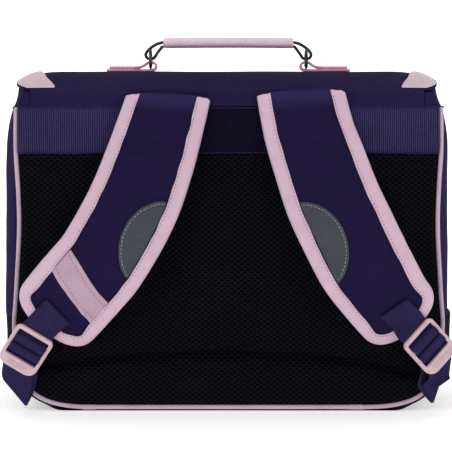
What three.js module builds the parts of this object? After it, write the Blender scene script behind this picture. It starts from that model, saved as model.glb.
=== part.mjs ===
// A school satchel with a flap, worn on the back. Millimetres, +Z up. It stands on its base, with the
// origin under the middle of the base, and its padded back faces -Y.
import * as THREE from "three";

// Sizes of the bag
const backWidth = 376; // between the piping's centres, at the band
const bodyDepth = 160;
const foldHeight = 288; // where the flap folds over the back's top edge
const domeRise = 16; // of the flap's ridge over the fold
const edgeDroop = 9; // of the flap's side edges under its ridge
const stripHeight = 16; // of the flap's strip, from the band's top up to the fold
const bandHeight = 41;
const baseTop = 83;
const cornerRun = 67; // the lower corner's curve, measured along the bottom
const cornerRise = 75; // and up the side
const seamLift = 4; // of the lowest piping over the ground
const sideBulge = 15.5; // of the gussets between the two seams
const gussetWall = 3;
const panelWall = 12; // padded back
const panelPillow = 3; // rise of the padding over its rim
const bandWall = 3.5;
const frontWall = 3;
const frontBulge = 4;
const pipingRadius = 2;
const gap = 0.3; // between pieces that touch

// Sizes of the flap
const flapWall = 2.5;
const stripHalf = 174.5; // half width of the flap's strip on the back
const flapHalf = 194; // half width of the flap at the ridge
const flapFrontHalf = 189;
const flapFrontEnd = 62; // height of the flap's lower edge
const flapCornerRadius = 34; // of the front's lower corners
const patchWall = 1.2;
const patchInner = 153; // from the middle to the patch's inner end at the fold
const patchReach = 118; // of the patch, from the fold towards the front

// Sizes of the handle
const gripLength = 120;
const gripHeight = 9.6;
const gripDepth = 22;
const gripRise = 14.5; // of the grip's centre over the hinge
const ringWire = 1.5; // radius
const linkWire = 1.2; // radius
const linkRadius = 8;
const hingeRise = 12.5; // of the hinge over the flap's ridge
const linkPlace = 72; // from the middle to each link
const tabLength = 46;
const tabDepth = 24;
const tabWall = 4;
const eyeDepth = 8.4; // of the leather that goes through the link
const eyeWidth = 8.8;

// Sizes of the shoulder straps
const strapDrop = 5.5; // of the strap's top end under the fold
const strapWidth = 80;
const strapThick = 12;
const strapEdge = 6; // thickness under the binding
const bindingWidth = 12;
const bindingWall = 1;
const strapBend = 112; // height where the strap's hang turns straight
const standBend = 26; // distance from the back plane at that height
const standTop = 0.6; // and at the top seam
const strapSlope = 0.36; // how fast the strap's end comes back to the body
const reflectorRadius = 40;
const labelWidth = 24;
const trimWall = 0.8;

// Sizes of the webbing and buckles
const webbingWidth = 29;
const webbingWall = 1.6;
const buckleWidth = 35.4;
const buckleLength = 41;
const buckleWall = 4;
const buckleCorner = 5;
const buckleFoot = 9; // radius of the lower corners
const topBar = 4;
const innerBar = 3;
const firstWindow = 7;
const secondWindow = 6.6;
const thirdWindow = 8;
const webbingPatch = 25; // length of the webbing sewn on the pad
const seatLength = 11; // of the webbing's end that lies on the bag

// Sizes of the hidden front clasps
const claspWidth = 34;
const claspHeight = 46;
const claspWall = 5;
const claspPlace = 112;

const bandTop = foldHeight - stripHeight;
const bandBottom = bandTop - bandHeight;
const strapTop = foldHeight - strapDrop;
const halfDepth = bodyDepth / 2;
const backPlane = -halfDepth;
const halfWidth = backWidth / 2;
const frontInside = halfDepth - frontWall;
const pipingY = backPlane + 2 * pipingRadius;
const rimBack = pipingY + pipingRadius + gap;
const rimFront = frontInside - gap;
const panelInset = pipingRadius + gap;

// Half widths of the back along the side seam, as shares of the fold's height and the back's half width.
const seamRows = [
  { height: 1.03, reach: 0.985 },
  { height: 0.944, reach: 1.0 },
  { height: 0.8125, reach: 1.002 },
  { height: 0.6875, reach: 0.992 },
  { height: 0.566, reach: 0.989 },
  { height: 0.413, reach: 1.002 },
  { height: 0.351, reach: 1.008 },
  { height: 0.29, reach: 1.016 },
];

// Bulge of the side gussets, as shares of the fold's height and of sideBulge.
const bulgeRows = [
  { height: 1.02, bulge: 0.2 },
  { height: 0.983, bulge: 0.4 },
  { height: 0.944, bulge: 0.6 },
  { height: 0.91, bulge: 0.8 },
  { height: 0.87, bulge: 0.92 },
  { height: 0.82, bulge: 1.0 },
  { height: 0.413, bulge: 1.0 },
  { height: 0.29, bulge: 0.84 },
];

// Value of a table's column at a height, with straight lines between its rows, which run downwards.
function tableAt(rows, column, height) {
  const last = rows.length - 1;
  if (height >= rows[0].height) return rows[0][column];
  if (height <= rows[last].height) return rows[last][column];
  const i = rows.findIndex((row) => row.height <= height);
  const above = rows[i - 1];
  const below = rows[i];
  const share = (height - below.height) / (above.height - below.height);
  return THREE.MathUtils.lerp(below[column], above[column], share);
}

const lerp = THREE.MathUtils.lerp;
const clamp = THREE.MathUtils.clamp;
const point = (x, y, z) => new THREE.Vector3(x, y, z);

// Evenly spaced values, both ends included.
function spread(from, to, steps) {
  return Array.from({ length: steps + 1 }, (_, i) => lerp(from, to, i / steps));
}

// A closed skin through rings of points with equal counts. The ends are closed by joining each point
// of the ring to its partner counted from the other end, unless the rings make a loop.
function loft(rings, loop = false) {
  const count = rings[0].length;
  const positions = rings.flat().flatMap((p) => [p.x, p.y, p.z]);
  const index = [];
  const quad = (a, b, c, d) => index.push(a, b, c, a, c, d);
  const spans = loop ? rings.length : rings.length - 1;
  for (let i = 0; i < spans; i++) {
    const row = i * count;
    const next = ((i + 1) % rings.length) * count;
    for (let j = 0; j < count; j++) {
      const k = (j + 1) % count;
      quad(row + j, row + k, next + k, next + j);
    }
  }
  if (!loop) {
    const end = (rings.length - 1) * count;
    for (let j = 0; j < count / 2 - 1; j++) {
      const a = j;
      const b = j + 1;
      const c = count - 2 - j;
      const d = count - 1 - j;
      quad(d, c, b, a);
      quad(end + a, end + b, end + c, end + d);
    }
  }
  return facingOut(positions, index);
}

// A geometry from positions and triangles, turned so that its faces point outwards.
function facingOut(positions, index) {
  let volume = 0;
  const corner = (i) => new THREE.Vector3().fromArray(positions, 3 * i);
  for (let i = 0; i < index.length; i += 3) {
    const [a, b, c] = [corner(index[i]), corner(index[i + 1]), corner(index[i + 2])];
    volume += a.dot(b.cross(c));
  }
  if (volume < 0) index.reverse();
  const geometry = new THREE.BufferGeometry();
  geometry.setAttribute("position", new THREE.Float32BufferAttribute(positions, 3));
  geometry.setIndex(index);
  return geometry;
}

// A ring from the two faces of a sheet's section.
const sheetRing = (outer, inner) => [...outer, ...[...inner].reverse()];

// Points moved sideways from a flat line, along its normal.
function offsetLine(line, distance) {
  const last = line.length - 1;
  return line.map((p, i) => {
    const before = line[Math.max(0, i - 1)];
    const after = line[Math.min(last, i + 1)];
    const along = after.clone().sub(before).normalize();
    return new THREE.Vector2(p.x - along.y * distance, p.y + along.x * distance);
  });
}

// The lower corner's curve on the left, from the side down to the bottom.
const cornerTop = seamLift + cornerRise;
const cornerReach = halfWidth * seamRows.at(-1).reach;
const cornerCurve = new THREE.CubicBezierCurve(
  new THREE.Vector2(-cornerReach, cornerTop),
  new THREE.Vector2(-cornerReach - 0.015 * cornerRun, seamLift + 0.2 * cornerRise),
  new THREE.Vector2(-cornerReach + 0.24 * cornerRun, seamLift + 0.01 * cornerRise),
  new THREE.Vector2(-cornerReach + cornerRun, seamLift),
);

const seamReach = (z) => halfWidth * tableAt(seamRows, "reach", z / foldHeight);

// The seam line from a height on the left, down round the bottom and up to that height on the right.
function seamLine(top) {
  const rows = seamRows.map((row) => foldHeight * row.height);
  const heights = [top, ...rows.filter((z) => z < top - 2 && z > cornerTop + 2)];
  const side = heights.map((z) => new THREE.Vector2(-seamReach(z), z));
  const left = [...side, ...cornerCurve.getPoints(9)];
  const right = left.map((p) => new THREE.Vector2(-p.x, p.y)).reverse();
  return [...left, ...right];
}

// A padded plate inside the seam line: rows give its depth position and its inset from the seam.
function seamPlate(top, rows) {
  const line = seamLine(top);
  const rings = rows.map(({ y, inset }) => {
    const ring = offsetLine(line, inset);
    const lowered = (p) => Math.min(p.y, top - Math.max(0, inset));
    return ring.map((p) => point(p.x, y, lowered(p)));
  });
  return loft(rings);
}

// Back, band and front

const backPanel = seamPlate(bandBottom - gap, [
  { y: backPlane + panelWall, inset: panelInset },
  { y: backPlane + 3, inset: panelInset },
  { y: backPlane + 0.8, inset: panelInset + 2 },
  { y: backPlane, inset: panelInset + 7 },
  { y: backPlane - 0.6 * panelPillow, inset: panelInset + 20 },
  { y: backPlane - panelPillow, inset: panelInset + 42 },
]);

function bandGeometry() {
  const rows = spread(bandBottom, bandTop - gap, 2);
  const ring = (z) => {
    const half = seamReach(z) - panelInset;
    const front = backPlane - gap;
    const back = front + bandWall;
    return [point(-half, front, z), point(half, front, z), point(half, back, z), point(-half, back, z)];
  };
  return loft(rows.map(ring));
}

const frontTop = foldHeight - flapWall - 4;
const frontPanel = seamPlate(frontTop, [
  { y: frontInside, inset: -pipingRadius },
  { y: halfDepth - 0.8, inset: -pipingRadius },
  { y: halfDepth, inset: 0 },
  { y: halfDepth + 0.6 * frontBulge, inset: 12 },
  { y: halfDepth + frontBulge, inset: 40 },
]);

// Flap

// How near a depth position is to the bag's middle: 1 at the ridge, 0 at the front and back planes.
const middleness = (y) => 1 - Math.min(1, Math.abs(y / halfDepth)) ** 2.4;
const roofHeight = (y) => foldHeight + domeRise * middleness(y);
const edgeHeight = (y) => foldHeight + (domeRise - edgeDroop) * middleness(y);

function roofHalf(y) {
  const near = 1 - Math.min(1, Math.abs(y / halfDepth)) ** 2;
  if (y < 0) return lerp(stripHalf, flapHalf, near ** 0.5);
  return lerp(flapFrontHalf, flapHalf, near);
}

// A point of the roof's outer face. Its side strips droop towards the edges.
function roofPoint(x, y, lift = 0) {
  const half = roofHalf(y);
  const droopRun = 0.14 * flapHalf;
  const side = clamp((Math.abs(x) - half + droopRun) / droopRun, 0, 1);
  const drop = (roofHeight(y) - edgeHeight(y)) * side ** 2;
  return point(x, y, roofHeight(y) - drop + lift);
}

const flapFront = halfDepth + frontBulge + gap + flapWall;
const foldRound = 5;

// The flap's rows from the strip's lower edge over the roof to the front's lower edge.
function flapRows() {
  const columns = spread(-1, 1, 12);
  const eased = (c) => Math.sign(c) * Math.abs(c) ** 0.7;
  const stripY = backPlane - gap;
  const row = (half, make) => ({
    outer: columns.map((c) => make(eased(c) * half, 0)),
    inner: columns.map((c) => make(eased(c) * half, flapWall)),
  });
  const upright = (half, z, y, inward) =>
    row(half, (x, wall) => point(x, y + inward * wall, z));
  const stripEnds = [bandTop + gap, foldHeight - foldRound];
  const strip = stripEnds.map((z) => upright(stripHalf, z, stripY, 1));
  const roofFrom = stripY + foldRound;
  const roofTo = halfDepth - 2;
  const roof = spread(roofFrom, roofTo, 9).map((y) =>
    row(roofHalf(y), (x, wall) => roofPoint(x, y, -wall)),
  );
  const cornerLift = 0.55 * foldRound;
  const backFold = row(stripHalf, (x, wall) =>
    point(x, stripY + 1.2 + 0.75 * wall, foldHeight - 0.75 + 0.1 * foldRound - 0.75 * wall),
  );
  const frontFold = row(flapFrontHalf, (x, wall) =>
    point(x, flapFront - 1 - 0.75 * wall, foldHeight - cornerLift - 0.75 * wall),
  );
  const straight = upright(flapFrontHalf, foldHeight - 12, flapFront, -1);
  const corner = spread(0, Math.PI / 2, 5).map((angle) => {
    const cut = flapCornerRadius * (1 - Math.cos(angle));
    const z = flapFrontEnd + flapCornerRadius * (1 - Math.sin(angle));
    return upright(flapFrontHalf - cut, z, flapFront, -1);
  });
  return [...strip, backFold, ...roof, frontFold, straight, ...corner];
}
const flap = loft(flapRows().map((row) => sheetRing(row.outer, row.inner)));

// Pink leather on a rear corner of the flap.
function cornerPatch(side) {
  const from = backPlane + 1;
  const rows = spread(from, from + patchReach, 9).map((y) => {
    const share = (y - from) / patchReach;
    const outer = roofHalf(y) - gap;
    const inner = lerp(patchInner, outer - 4, share ** 1.3);
    const reach = spread(inner, outer, 4);
    const face = (lift) => reach.map((x) => roofPoint(side * x, y, lift));
    return sheetRing(face(gap + patchWall), face(gap));
  });
  return loft(rows);
}

// Gussets

// Inward and outward places of a gusset's section, from the back rim to the front rim.
function gussetSection(bulge, flatness = 1) {
  return spread(rimBack, rimFront, 10).map((y) => {
    const across = (2 * (y - rimBack)) / (rimFront - rimBack) - 1;
    const rise = Math.min(1, flatness * (1 - Math.abs(across) ** 2.4));
    return new THREE.Vector2(y, pipingRadius + bulge * rise);
  });
}

// One station of a gusset: the section stands on a seam point, along the seam's outward normal.
function gussetRing(place, normal, section) {
  const inner = offsetLine(section, -gussetWall);
  inner[0].x = section[0].x;
  inner.at(-1).x = section.at(-1).x;
  const stand = (p) => point(place.x + normal.x * p.y, p.x, place.y + normal.y * p.y);
  return sheetRing(section.map(stand), inner.map(stand));
}

function baseGeometry() {
  const line = seamLine(baseTop);
  const rings = line.map((place, i) => {
    const before = line[Math.max(0, i - 1)];
    const after = line[Math.min(line.length - 1, i + 1)];
    const along = after.clone().sub(before).normalize();
    const normal = new THREE.Vector2(along.y, -along.x);
    if (i === 0 || i === line.length - 1) normal.set(Math.sign(place.x), 0);
    const down = -normal.y;
    const bulge = lerp(sideBulge * bulgeRows.at(-1).bulge, seamLift - pipingRadius, down);
    return gussetRing(place, normal, gussetSection(bulge, 1 + 2.5 * down ** 4));
  });
  return loft(rings);
}

const flapMargin = 1.5; // of the flap's edge past the gusset under it
const shoulderTurn = 5; // width of the turn from the side on to the back

// A side gusset. Above the band it wraps round on to the back, up to the flap's strip.
function sideGusset(side) {
  const outward = new THREE.Vector2(side, 0);
  const bulgeAt = (z) => sideBulge * tableAt(bulgeRows, "bulge", z / foldHeight);
  const plain = (z) =>
    gussetRing(new THREE.Vector2(side * seamReach(z), z), outward, gussetSection(bulgeAt(z)));
  const lower = [
    ...spread(baseTop + gap, bandTop - 36, 5),
    ...spread(bandTop - 24, bandTop, 2),
  ].map(plain);
  const shoulderY = backPlane + 0.6;
  const upper = spread(0, 1, 3).map((share) => {
    const low = bandTop + gap;
    const section = gussetSection(bulgeAt(lerp(low, foldHeight, share)));
    const seam = seamReach(low);
    const tucked = (y, reach) => lerp(reach, Math.min(reach, roofHalf(y) - flapMargin - seam), share);
    const leaning = section.map((p) => new THREE.Vector2(p.x, tucked(p.x, p.y)));
    leaning[0].set(shoulderY, stripHalf + gap - seam);
    leaning[1].set(shoulderY, Math.min(leaning[1].y, pipingRadius) - shoulderTurn);
    leaning[2].set(rimBack, tucked(rimBack, pipingRadius + 1));
    const inner = offsetLine(leaning, -gussetWall);
    inner[0].y = leaning[0].y;
    inner[1].set(shoulderY + gussetWall, leaning[1].y - 1);
    inner.at(-1).x = leaning.at(-1).x;
    const stand = (p) => {
      const top = edgeHeight(p.x) - flapWall - 2 * gap;
      return point(side * (seam + p.y), p.x, lerp(low, top, share));
    };
    return sheetRing(leaning.map(stand), inner.map(stand));
  });
  return loft([...lower, ...upper]);
}

// A round bar along a path of points, in a plane whose normal is given. Rings may make a loop.
function bar(path, planeNormal, radius, sides, loop = false) {
  const last = path.length - 1;
  const rings = path.map((p, i) => {
    const before = path[i > 0 ? i - 1 : loop ? last : 0];
    const after = path[i < last ? i + 1 : loop ? 0 : last];
    const along = after.clone().sub(before).normalize();
    const outward = along.clone().cross(planeNormal);
    return spread(0, 2 * Math.PI, sides).slice(0, -1).map((angle) => {
      const turned = outward.clone().multiplyScalar(Math.cos(angle) * radius);
      return turned.addScaledVector(planeNormal, Math.sin(angle) * radius).add(p);
    });
  });
  return loft(rings, loop);
}

const alongY = point(0, 1, 0);
const alongX = point(1, 0, 0);
const piping = bar(
  seamLine(bandTop - gap).map((p) => point(p.x, pipingY, p.y)),
  alongY,
  pipingRadius,
  8,
);

// Handle

const hinge = foldHeight + domeRise + hingeRise;

function gripGeometry() {
  const ends = 5;
  const shares = [-1, -0.985, -0.95, -0.5, 0, 0.5, 0.95, 0.985, 1];
  const rings = shares.map((share) => {
    const late = clamp(((Math.abs(share) - 1) * gripLength) / 2 / ends + 1, 0, 1);
    const fill = 1 - 0.16 * late;
    const high = (gripHeight / 2) * fill;
    const deep = (gripDepth / 2) * fill;
    const outline = [[1, 0.35], [0.82, 0.82], [0.4, 1], [-0.4, 1], [-0.82, 0.82], [-1, 0.35]];
    const half = outline.map(([y, z]) => [y * deep, z * high]);
    const under = half.map(([y, z]) => [-y, -z]);
    const x = (share * gripLength) / 2;
    return [...half, ...under].map(([y, z]) => point(x, y, hinge + gripRise + z));
  });
  return loft(rings);
}

// The loop at an end of the grip. Its bottom runs along the hinge, through the link.
function ringGeometry(side) {
  const start = gripLength / 2 + gap;
  const reach = linkPlace - start;
  const route = [
    [start, gripRise + ringWire + 0.3],
    [start + 1.5, gripRise + ringWire + 0.3],
    [start + 0.45 * reach, gripRise + ringWire],
    [start + 0.95 * reach, gripRise - 1.4],
    [linkPlace + 3.6, gripRise - 6],
    [linkPlace + 4, 3.4],
    [linkPlace + 2.9, 0.6],
    [linkPlace + 1.4, 0],
    [linkPlace - 1.6, 0],
    [linkPlace - 3.4, 0.8],
    [linkPlace - 6.2, gripRise - 10],
    [start + 0.3 * reach, gripRise - 4],
    [start + 1.5, gripRise - ringWire - 1],
    [start, gripRise - ringWire - 1],
  ];
  const path = route.map(([x, z]) => point(side * x, 0, hinge + z));
  return bar(path, alongY, ringWire, 8);
}

// A link in the plane across the hinge: round above it, with a flat foot in the leather's eye.
function linkGeometry(side) {
  const x = side * linkPlace;
  const turn = 3;
  const arc = (from, to, steps, radius, y, z) =>
    spread(from, to, steps).map((a) => [y + radius * Math.cos(a), z + radius * Math.sin(a)]);
  const inset = linkRadius - turn;
  const outline = [
    ...arc(0, Math.PI, 10, linkRadius, 0, 0),
    ...arc(Math.PI, 1.5 * Math.PI, 2, turn, -inset, -inset),
    ...arc(1.5 * Math.PI, 2 * Math.PI, 2, turn, inset, -inset),
  ];
  const path = outline.map(([y, z]) => point(x, y, hinge + z));
  return bar(path, alongX, linkWire, 8, true);
}

// A leather tab on the ridge: a sewn tongue that rises to the eye which holds the link.
function tabGeometry(side) {
  const floor = foldHeight + domeRise + gap;
  const eyeFloor = hinge - linkRadius - linkWire - gap;
  const eyeTop = hinge - linkRadius + linkWire + 1.6;
  const crown = hinge - ringWire - gap;
  const outerEnd = linkPlace - eyeWidth / 2 - 2;
  const eyeBack = linkPlace + eyeWidth / 2 + 2.4;
  const tongueEnd = outerEnd + tabLength;
  const shape = new THREE.Shape([
    new THREE.Vector2(outerEnd, floor),
    new THREE.Vector2(eyeBack, floor),
    new THREE.Vector2(eyeBack + 9, floor),
    new THREE.Vector2(tongueEnd, floor),
    new THREE.Vector2(tongueEnd, floor + tabWall - 0.8),
    new THREE.Vector2(tongueEnd - 1, floor + tabWall),
    new THREE.Vector2(eyeBack + 9, floor + tabWall),
    new THREE.Vector2(eyeBack, crown - 2.6),
    new THREE.Vector2(eyeBack - 3, crown),
    new THREE.Vector2(outerEnd + 2, crown),
    new THREE.Vector2(outerEnd, crown - 2.4),
  ]);
  const [left, right] = [linkPlace - eyeWidth / 2, linkPlace + eyeWidth / 2];
  const hole = [
    [left + 1, eyeFloor], [right - 1, eyeFloor], [right, eyeFloor + 1], [right, eyeTop - 1],
    [right - 1, eyeTop], [left + 1, eyeTop], [left, eyeTop - 1], [left, eyeFloor + 1],
  ].map(([x, z]) => new THREE.Vector2(x, z));
  shape.holes.push(new THREE.Path(hole));
  const solid = new THREE.ExtrudeGeometry(shape, { depth: 1, bevelEnabled: false });
  solid.translate(0, 0, -0.5);
  const place = solid.getAttribute("position");
  for (let i = 0; i < place.count; i++) {
    const x = place.getX(i);
    const wide = clamp((x - eyeBack) / 9, 0, 1);
    const depth = lerp(eyeDepth, tabDepth, wide) * place.getZ(i);
    place.setXYZ(i, side * x, -side * depth, place.getY(i));
  }
  return solid;
}

// Shoulder straps

// Where the strap's middle line runs, as shares of the strap's top height and the back's half width,
// and their widths as shares of strapWidth. The two straps hang a little differently.
const drapeRows = [
  { height: 1.0, left: -0.288, right: 0.335, leftWidth: 0.93, rightWidth: 0.93 },
  { height: 0.89, left: -0.33, right: 0.372, leftWidth: 0.96, rightWidth: 0.96 },
  { height: 0.79, left: -0.375, right: 0.42, leftWidth: 0.98, rightWidth: 0.98 },
  { height: 0.683, left: -0.433, right: 0.475, leftWidth: 1.0, rightWidth: 1.0 },
  { height: 0.588, left: -0.503, right: 0.54, leftWidth: 1.0, rightWidth: 1.0 },
  { height: 0.493, left: -0.59, right: 0.612, leftWidth: 0.99, rightWidth: 0.99 },
  { height: 0.433, left: -0.662, right: 0.67, leftWidth: 0.98, rightWidth: 0.96 },
  { height: 0.355, left: -0.76, right: 0.753, leftWidth: 0.96, rightWidth: 0.9 },
  { height: 0.275, left: -0.864, right: 0.854, leftWidth: 0.92, rightWidth: 0.86 },
];
const reflectorShare = 0.5; // of the strap's length, to the reflector's centre
const labelShare = 0.78; // of the strap's length, to the band's middle
const endRound = 22; // length of the strap's rounded end
const levelRun = 70; // length over which the level top end turns square to the strap
const buckleLean = { left: 57, right: 48 }; // degrees under level
const buckleSlide = { left: -4.6, right: -3.4 }; // across, from the strap's tip towards the bag's middle
const buckleDrop = { left: 1.6, right: -2.8 }; // from the strap's tip, along the webbing
const buckleRoll = { left: 6, right: 28 }; // degrees, its inner side turned away from the bag
const twistRun = 8; // length of webbing over which that roll comes in
const webbingLean = { left: 0.26, right: 0.07 }; // inward run of the sewn webbing, per length
const webbingTail = { left: 65, right: 61 }; // from the buckle's top to the webbing's folded end
const tailLean = { left: 0.4, right: 0.5 }; // inward run of the lower webbing, per length
const tailSkew = { left: 0.35, right: 0.5 }; // of the lower webbing's folded end
const labelSkew = 0.28; // of the band across the left strap

// Distance from the back plane to the strap's back face: straight below the bend, a soft arch above it.
function standoff(z) {
  if (z < strapBend) return standBend + strapSlope * (z - strapBend);
  const span = strapTop - strapBend;
  const t = (z - strapBend) / span;
  const fromBend = 2 * t ** 3 - 3 * t ** 2 + 1;
  const slope = t ** 3 - 2 * t ** 2 + t;
  return standBend * fromBend + strapSlope * span * slope + standTop * (1 - fromBend);
}

// The strap's middle surface bends only up and down, so a flat outline is laid on it by its x and z.
const strapHalf = strapThick / 2;
const middleY = (z) => backPlane - standoff(z) - strapHalf;
const strapLean = (z) => middleY(z + 0.5) - middleY(z - 0.5); // over one millimetre of height

function onStrap(flat, out) {
  const z = flat.y;
  const slope = strapLean(z);
  const normal = point(0, -1, slope).normalize();
  return point(flat.x, middleY(z), z).addScaledVector(normal, out);
}

const strapCurve = (name) =>
  new THREE.SplineCurve(
    drapeRows.map((row) => new THREE.Vector2(halfWidth * row[name], strapTop * row.height)),
  );

// Everything that lies on one strap is placed by its distance from the top and across the middle line.
function strapFrame(name) {
  const curve = strapCurve(name);
  const length = curve.getLength();
  const widthCurve = (z) => strapWidth * tableAt(drapeRows, name + "Width", z / strapTop);
  const half = (run) => {
    const p = curve.getPointAt(clamp(run / length, 0, 1));
    const late = clamp((run - length + endRound) / endRound, 0, 1);
    return (widthCurve(p.y) / 2) * (1 - late ** 2.4) ** (1 / 2.4);
  };
  const at = (run, across) => {
    const share = clamp(run / length, 0, 1);
    const p = curve.getPointAt(share);
    const along = curve.getTangentAt(share);
    const level = 1 - clamp(run / levelRun, 0, 1);
    const sideways = new THREE.Vector2(-along.y, along.x * (1 - level)).normalize();
    return p.addScaledVector(sideways, across);
  };
  return { curve, length, half, at };
}

const marginEnd = bindingWidth + gap;
const paddingRun = 8; // from the binding's inner edge to full thickness

// Half thickness of the pad at a place on the strap.
function padHalf(frame, run, across) {
  const inside = frame.half(run) - Math.abs(across) - marginEnd;
  const fromEnd = frame.length - run - webbingPatch - 3 * gap;
  const rise = clamp(Math.min(inside, fromEnd) / paddingRun, 0, 1);
  return lerp(strapEdge, strapThick, rise) / 2;
}

function strapRuns(frame) {
  const body = spread(0, frame.length - endRound, 17);
  const end = spread(0, 1, 6).slice(1, -1);
  const tail = end.map((t) => frame.length - endRound + endRound * Math.sin((t * Math.PI) / 2));
  return [...body, ...tail, frame.length - 0.05];
}

function padGeometry(frame) {
  const rings = strapRuns(frame).map((run) => {
    const half = frame.half(run);
    const inner = Math.max(half - marginEnd, 0.5 * half);
    const plateau = Math.max(half - marginEnd - paddingRun, 0.3 * half);
    const across = [-half, -inner, -plateau, plateau, inner, half];
    const face = (sign) => across.map((a) => onStrap(frame.at(run, a), sign * padHalf(frame, run, a)));
    return sheetRing(face(1), face(-1));
  });
  return loft(rings);
}

// Binding folded over the strap's edge. Along the sides its section lies on the pad's own sections,
// and round the end it stands across the outline.
function bindingGeometry(frame) {
  const runs = strapRuns(frame);
  const round = frame.length - endRound + gap;
  const edge = (sign) => runs.map((run) => ({ run, sign, place: frame.at(run, sign * frame.half(run)) }));
  const outline = [...edge(1), ...edge(-1).reverse()];
  const sunk = strapEdge / 2 + 1.5 * gap;
  const fold = (deep, out) => [[bindingWidth, out], [deep, out], [deep, -out], [bindingWidth, -out]];
  const rings = outline.map(({ run, sign, place }, i) => {
    const before = outline[Math.max(0, i - 1)].place;
    const after = outline[Math.min(outline.length - 1, i + 1)].place;
    const along = after.clone().sub(before).normalize();
    const inward = new THREE.Vector2(along.y, -along.x);
    const flat = (deep) =>
      run > round
        ? place.clone().addScaledVector(inward, deep)
        : frame.at(run, sign * (frame.half(run) - deep));
    const stand = ([deep, out]) => onStrap(flat(deep), out);
    const outside = fold(-gap - bindingWall, sunk + bindingWall);
    return sheetRing(outside.map(stand), fold(-gap, sunk).map(stand));
  });
  return loft(rings);
}

// A thin sheet on the pad's outer face: rows give a run and the two ends across.
function padSheet(frame, rows) {
  const rings = rows.map(({ run, ends, skew = 0 }) => {
    const [from, to] = [Math.min(...ends), Math.max(...ends)];
    const plateau = frame.half(run) - marginEnd - paddingRun;
    const step = (to - from) / 20;
    const first = clamp(-plateau, from + step, to - 3 * step);
    const second = clamp(plateau, first + step, to - 2 * step);
    const face = (lift) =>
      [from, first, (first + second) / 2, second, to].map((across) => {
        const place = run + skew * across;
        return onStrap(frame.at(place, across), padHalf(frame, place, across) + lift);
      });
    return sheetRing(face(2.2 * gap + trimWall), face(2.2 * gap));
  });
  return loft(rings);
}

// A reflective disc cut off by the inner binding. Its centre lies just past the strap's inner edge.
function reflectorGeometry(frame, inwardSign) {
  const centreRun = reflectorShare * frame.length;
  const past = marginEnd + 0.5;
  const centre = frame.at(centreRun, inwardSign * (frame.half(centreRun) + 0.5));
  const ramp = spread(0.5, paddingRun, 2);
  const reaches = [...ramp, ...spread(paddingRun, reflectorRadius - past, 5).slice(1)];
  const chord = (off) => Math.sqrt(Math.max(0, reflectorRadius ** 2 - off ** 2));
  const offsets = reaches.map((reach) => chord(past + reach));
  const rounded = [
    ...offsets.map((offset) => centreRun - offset),
    ...offsets.slice(0, -1).map((offset) => centreRun + offset),
  ];
  const apart = (run) => rounded.every((other) => Math.abs(run - other) > 2);
  const shared = strapRuns(frame).filter(apart);
  const inside = shared.filter((run) => Math.abs(run - centreRun) < offsets[0]);
  const rows = [...rounded, ...inside].sort((a, b) => a - b).map((run) => {
    const origin = frame.at(run, 0);
    const unit = frame.at(run, inwardSign).sub(origin);
    const toCentre = centre.clone().sub(origin);
    const along = toCentre.dot(unit);
    const half = chord(Math.sqrt(Math.max(0, toCentre.lengthSq() - along ** 2)));
    const limit = frame.half(run) - marginEnd - gap;
    const nearest = Math.min(along - half, limit - 1);
    return { run, ends: [inwardSign * nearest, inwardSign * limit] };
  });
  return padSheet(frame, rows);
}

function labelGeometry(frame) {
  const middle = labelShare * frame.length;
  const limit = frame.half(middle) - marginEnd - gap;
  const rows = spread(-labelWidth / 2, labelWidth / 2, 4).map((step) => {
    return { run: middle + step, ends: [-limit, limit], skew: labelSkew };
  });
  return padSheet(frame, rows);
}

// Webbing and buckles

// Places in the buckle's own frame: across it towards the bag's middle, down along the webbing, and out.
// It rolls about the webbing's outer edge. The webbing sewn on the pad lies flat, at a turn of 0.
function buckleFrame(name, frame) {
  const side = name === "left" ? -1 : 1;
  const tip = frame.at(frame.length, 0);
  const lean = THREE.MathUtils.degToRad(buckleLean[name]);
  const slope = strapLean(tip.y);
  const flatOut = point(0, -1, slope).normalize();
  const down = point(side * Math.cos(lean), -slope * Math.sin(lean), -Math.sin(lean)).normalize();
  const flatAcross = down.clone().cross(flatOut).multiplyScalar(side);
  const lift = strapEdge / 2 + 1.5 * gap + bindingWall + gap + webbingWall + gap + buckleWall / 2;
  const outerEdge = onStrap(tip, lift)
    .addScaledVector(down, buckleDrop[name])
    .addScaledVector(flatAcross, buckleSlide[name] - webbingWidth / 2);
  const axes = (turn) => {
    const roll = turn * THREE.MathUtils.degToRad(buckleRoll[name]);
    const [cos, sin] = [Math.cos(roll), Math.sin(roll)];
    const across = flatAcross.clone().multiplyScalar(cos).addScaledVector(flatOut, sin);
    const out = flatOut.clone().multiplyScalar(cos).addScaledVector(flatAcross, -sin);
    return { across, out };
  };
  const place = (a, s, n, turn = 1) => {
    const { across, out } = axes(turn);
    return outerEdge
      .clone()
      .addScaledVector(across, a + webbingWidth / 2)
      .addScaledVector(down, s)
      .addScaledVector(out, n);
  };
  return { down, place, origin: place(0, 0, 0), ...axes(1) };
}

const firstBar = topBar + firstWindow;
const secondBar = firstBar + innerBar + secondWindow;
const liftBar = secondBar + innerBar + thirdWindow;
const wrapRadius = Math.hypot(innerBar, buckleWall) / 2 + gap + webbingWall / 2;
const frontLayer = -(buckleWall / 2 + gap + webbingWall / 2);
const backLayer = frontLayer - webbingWall - 2 * gap;

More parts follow.
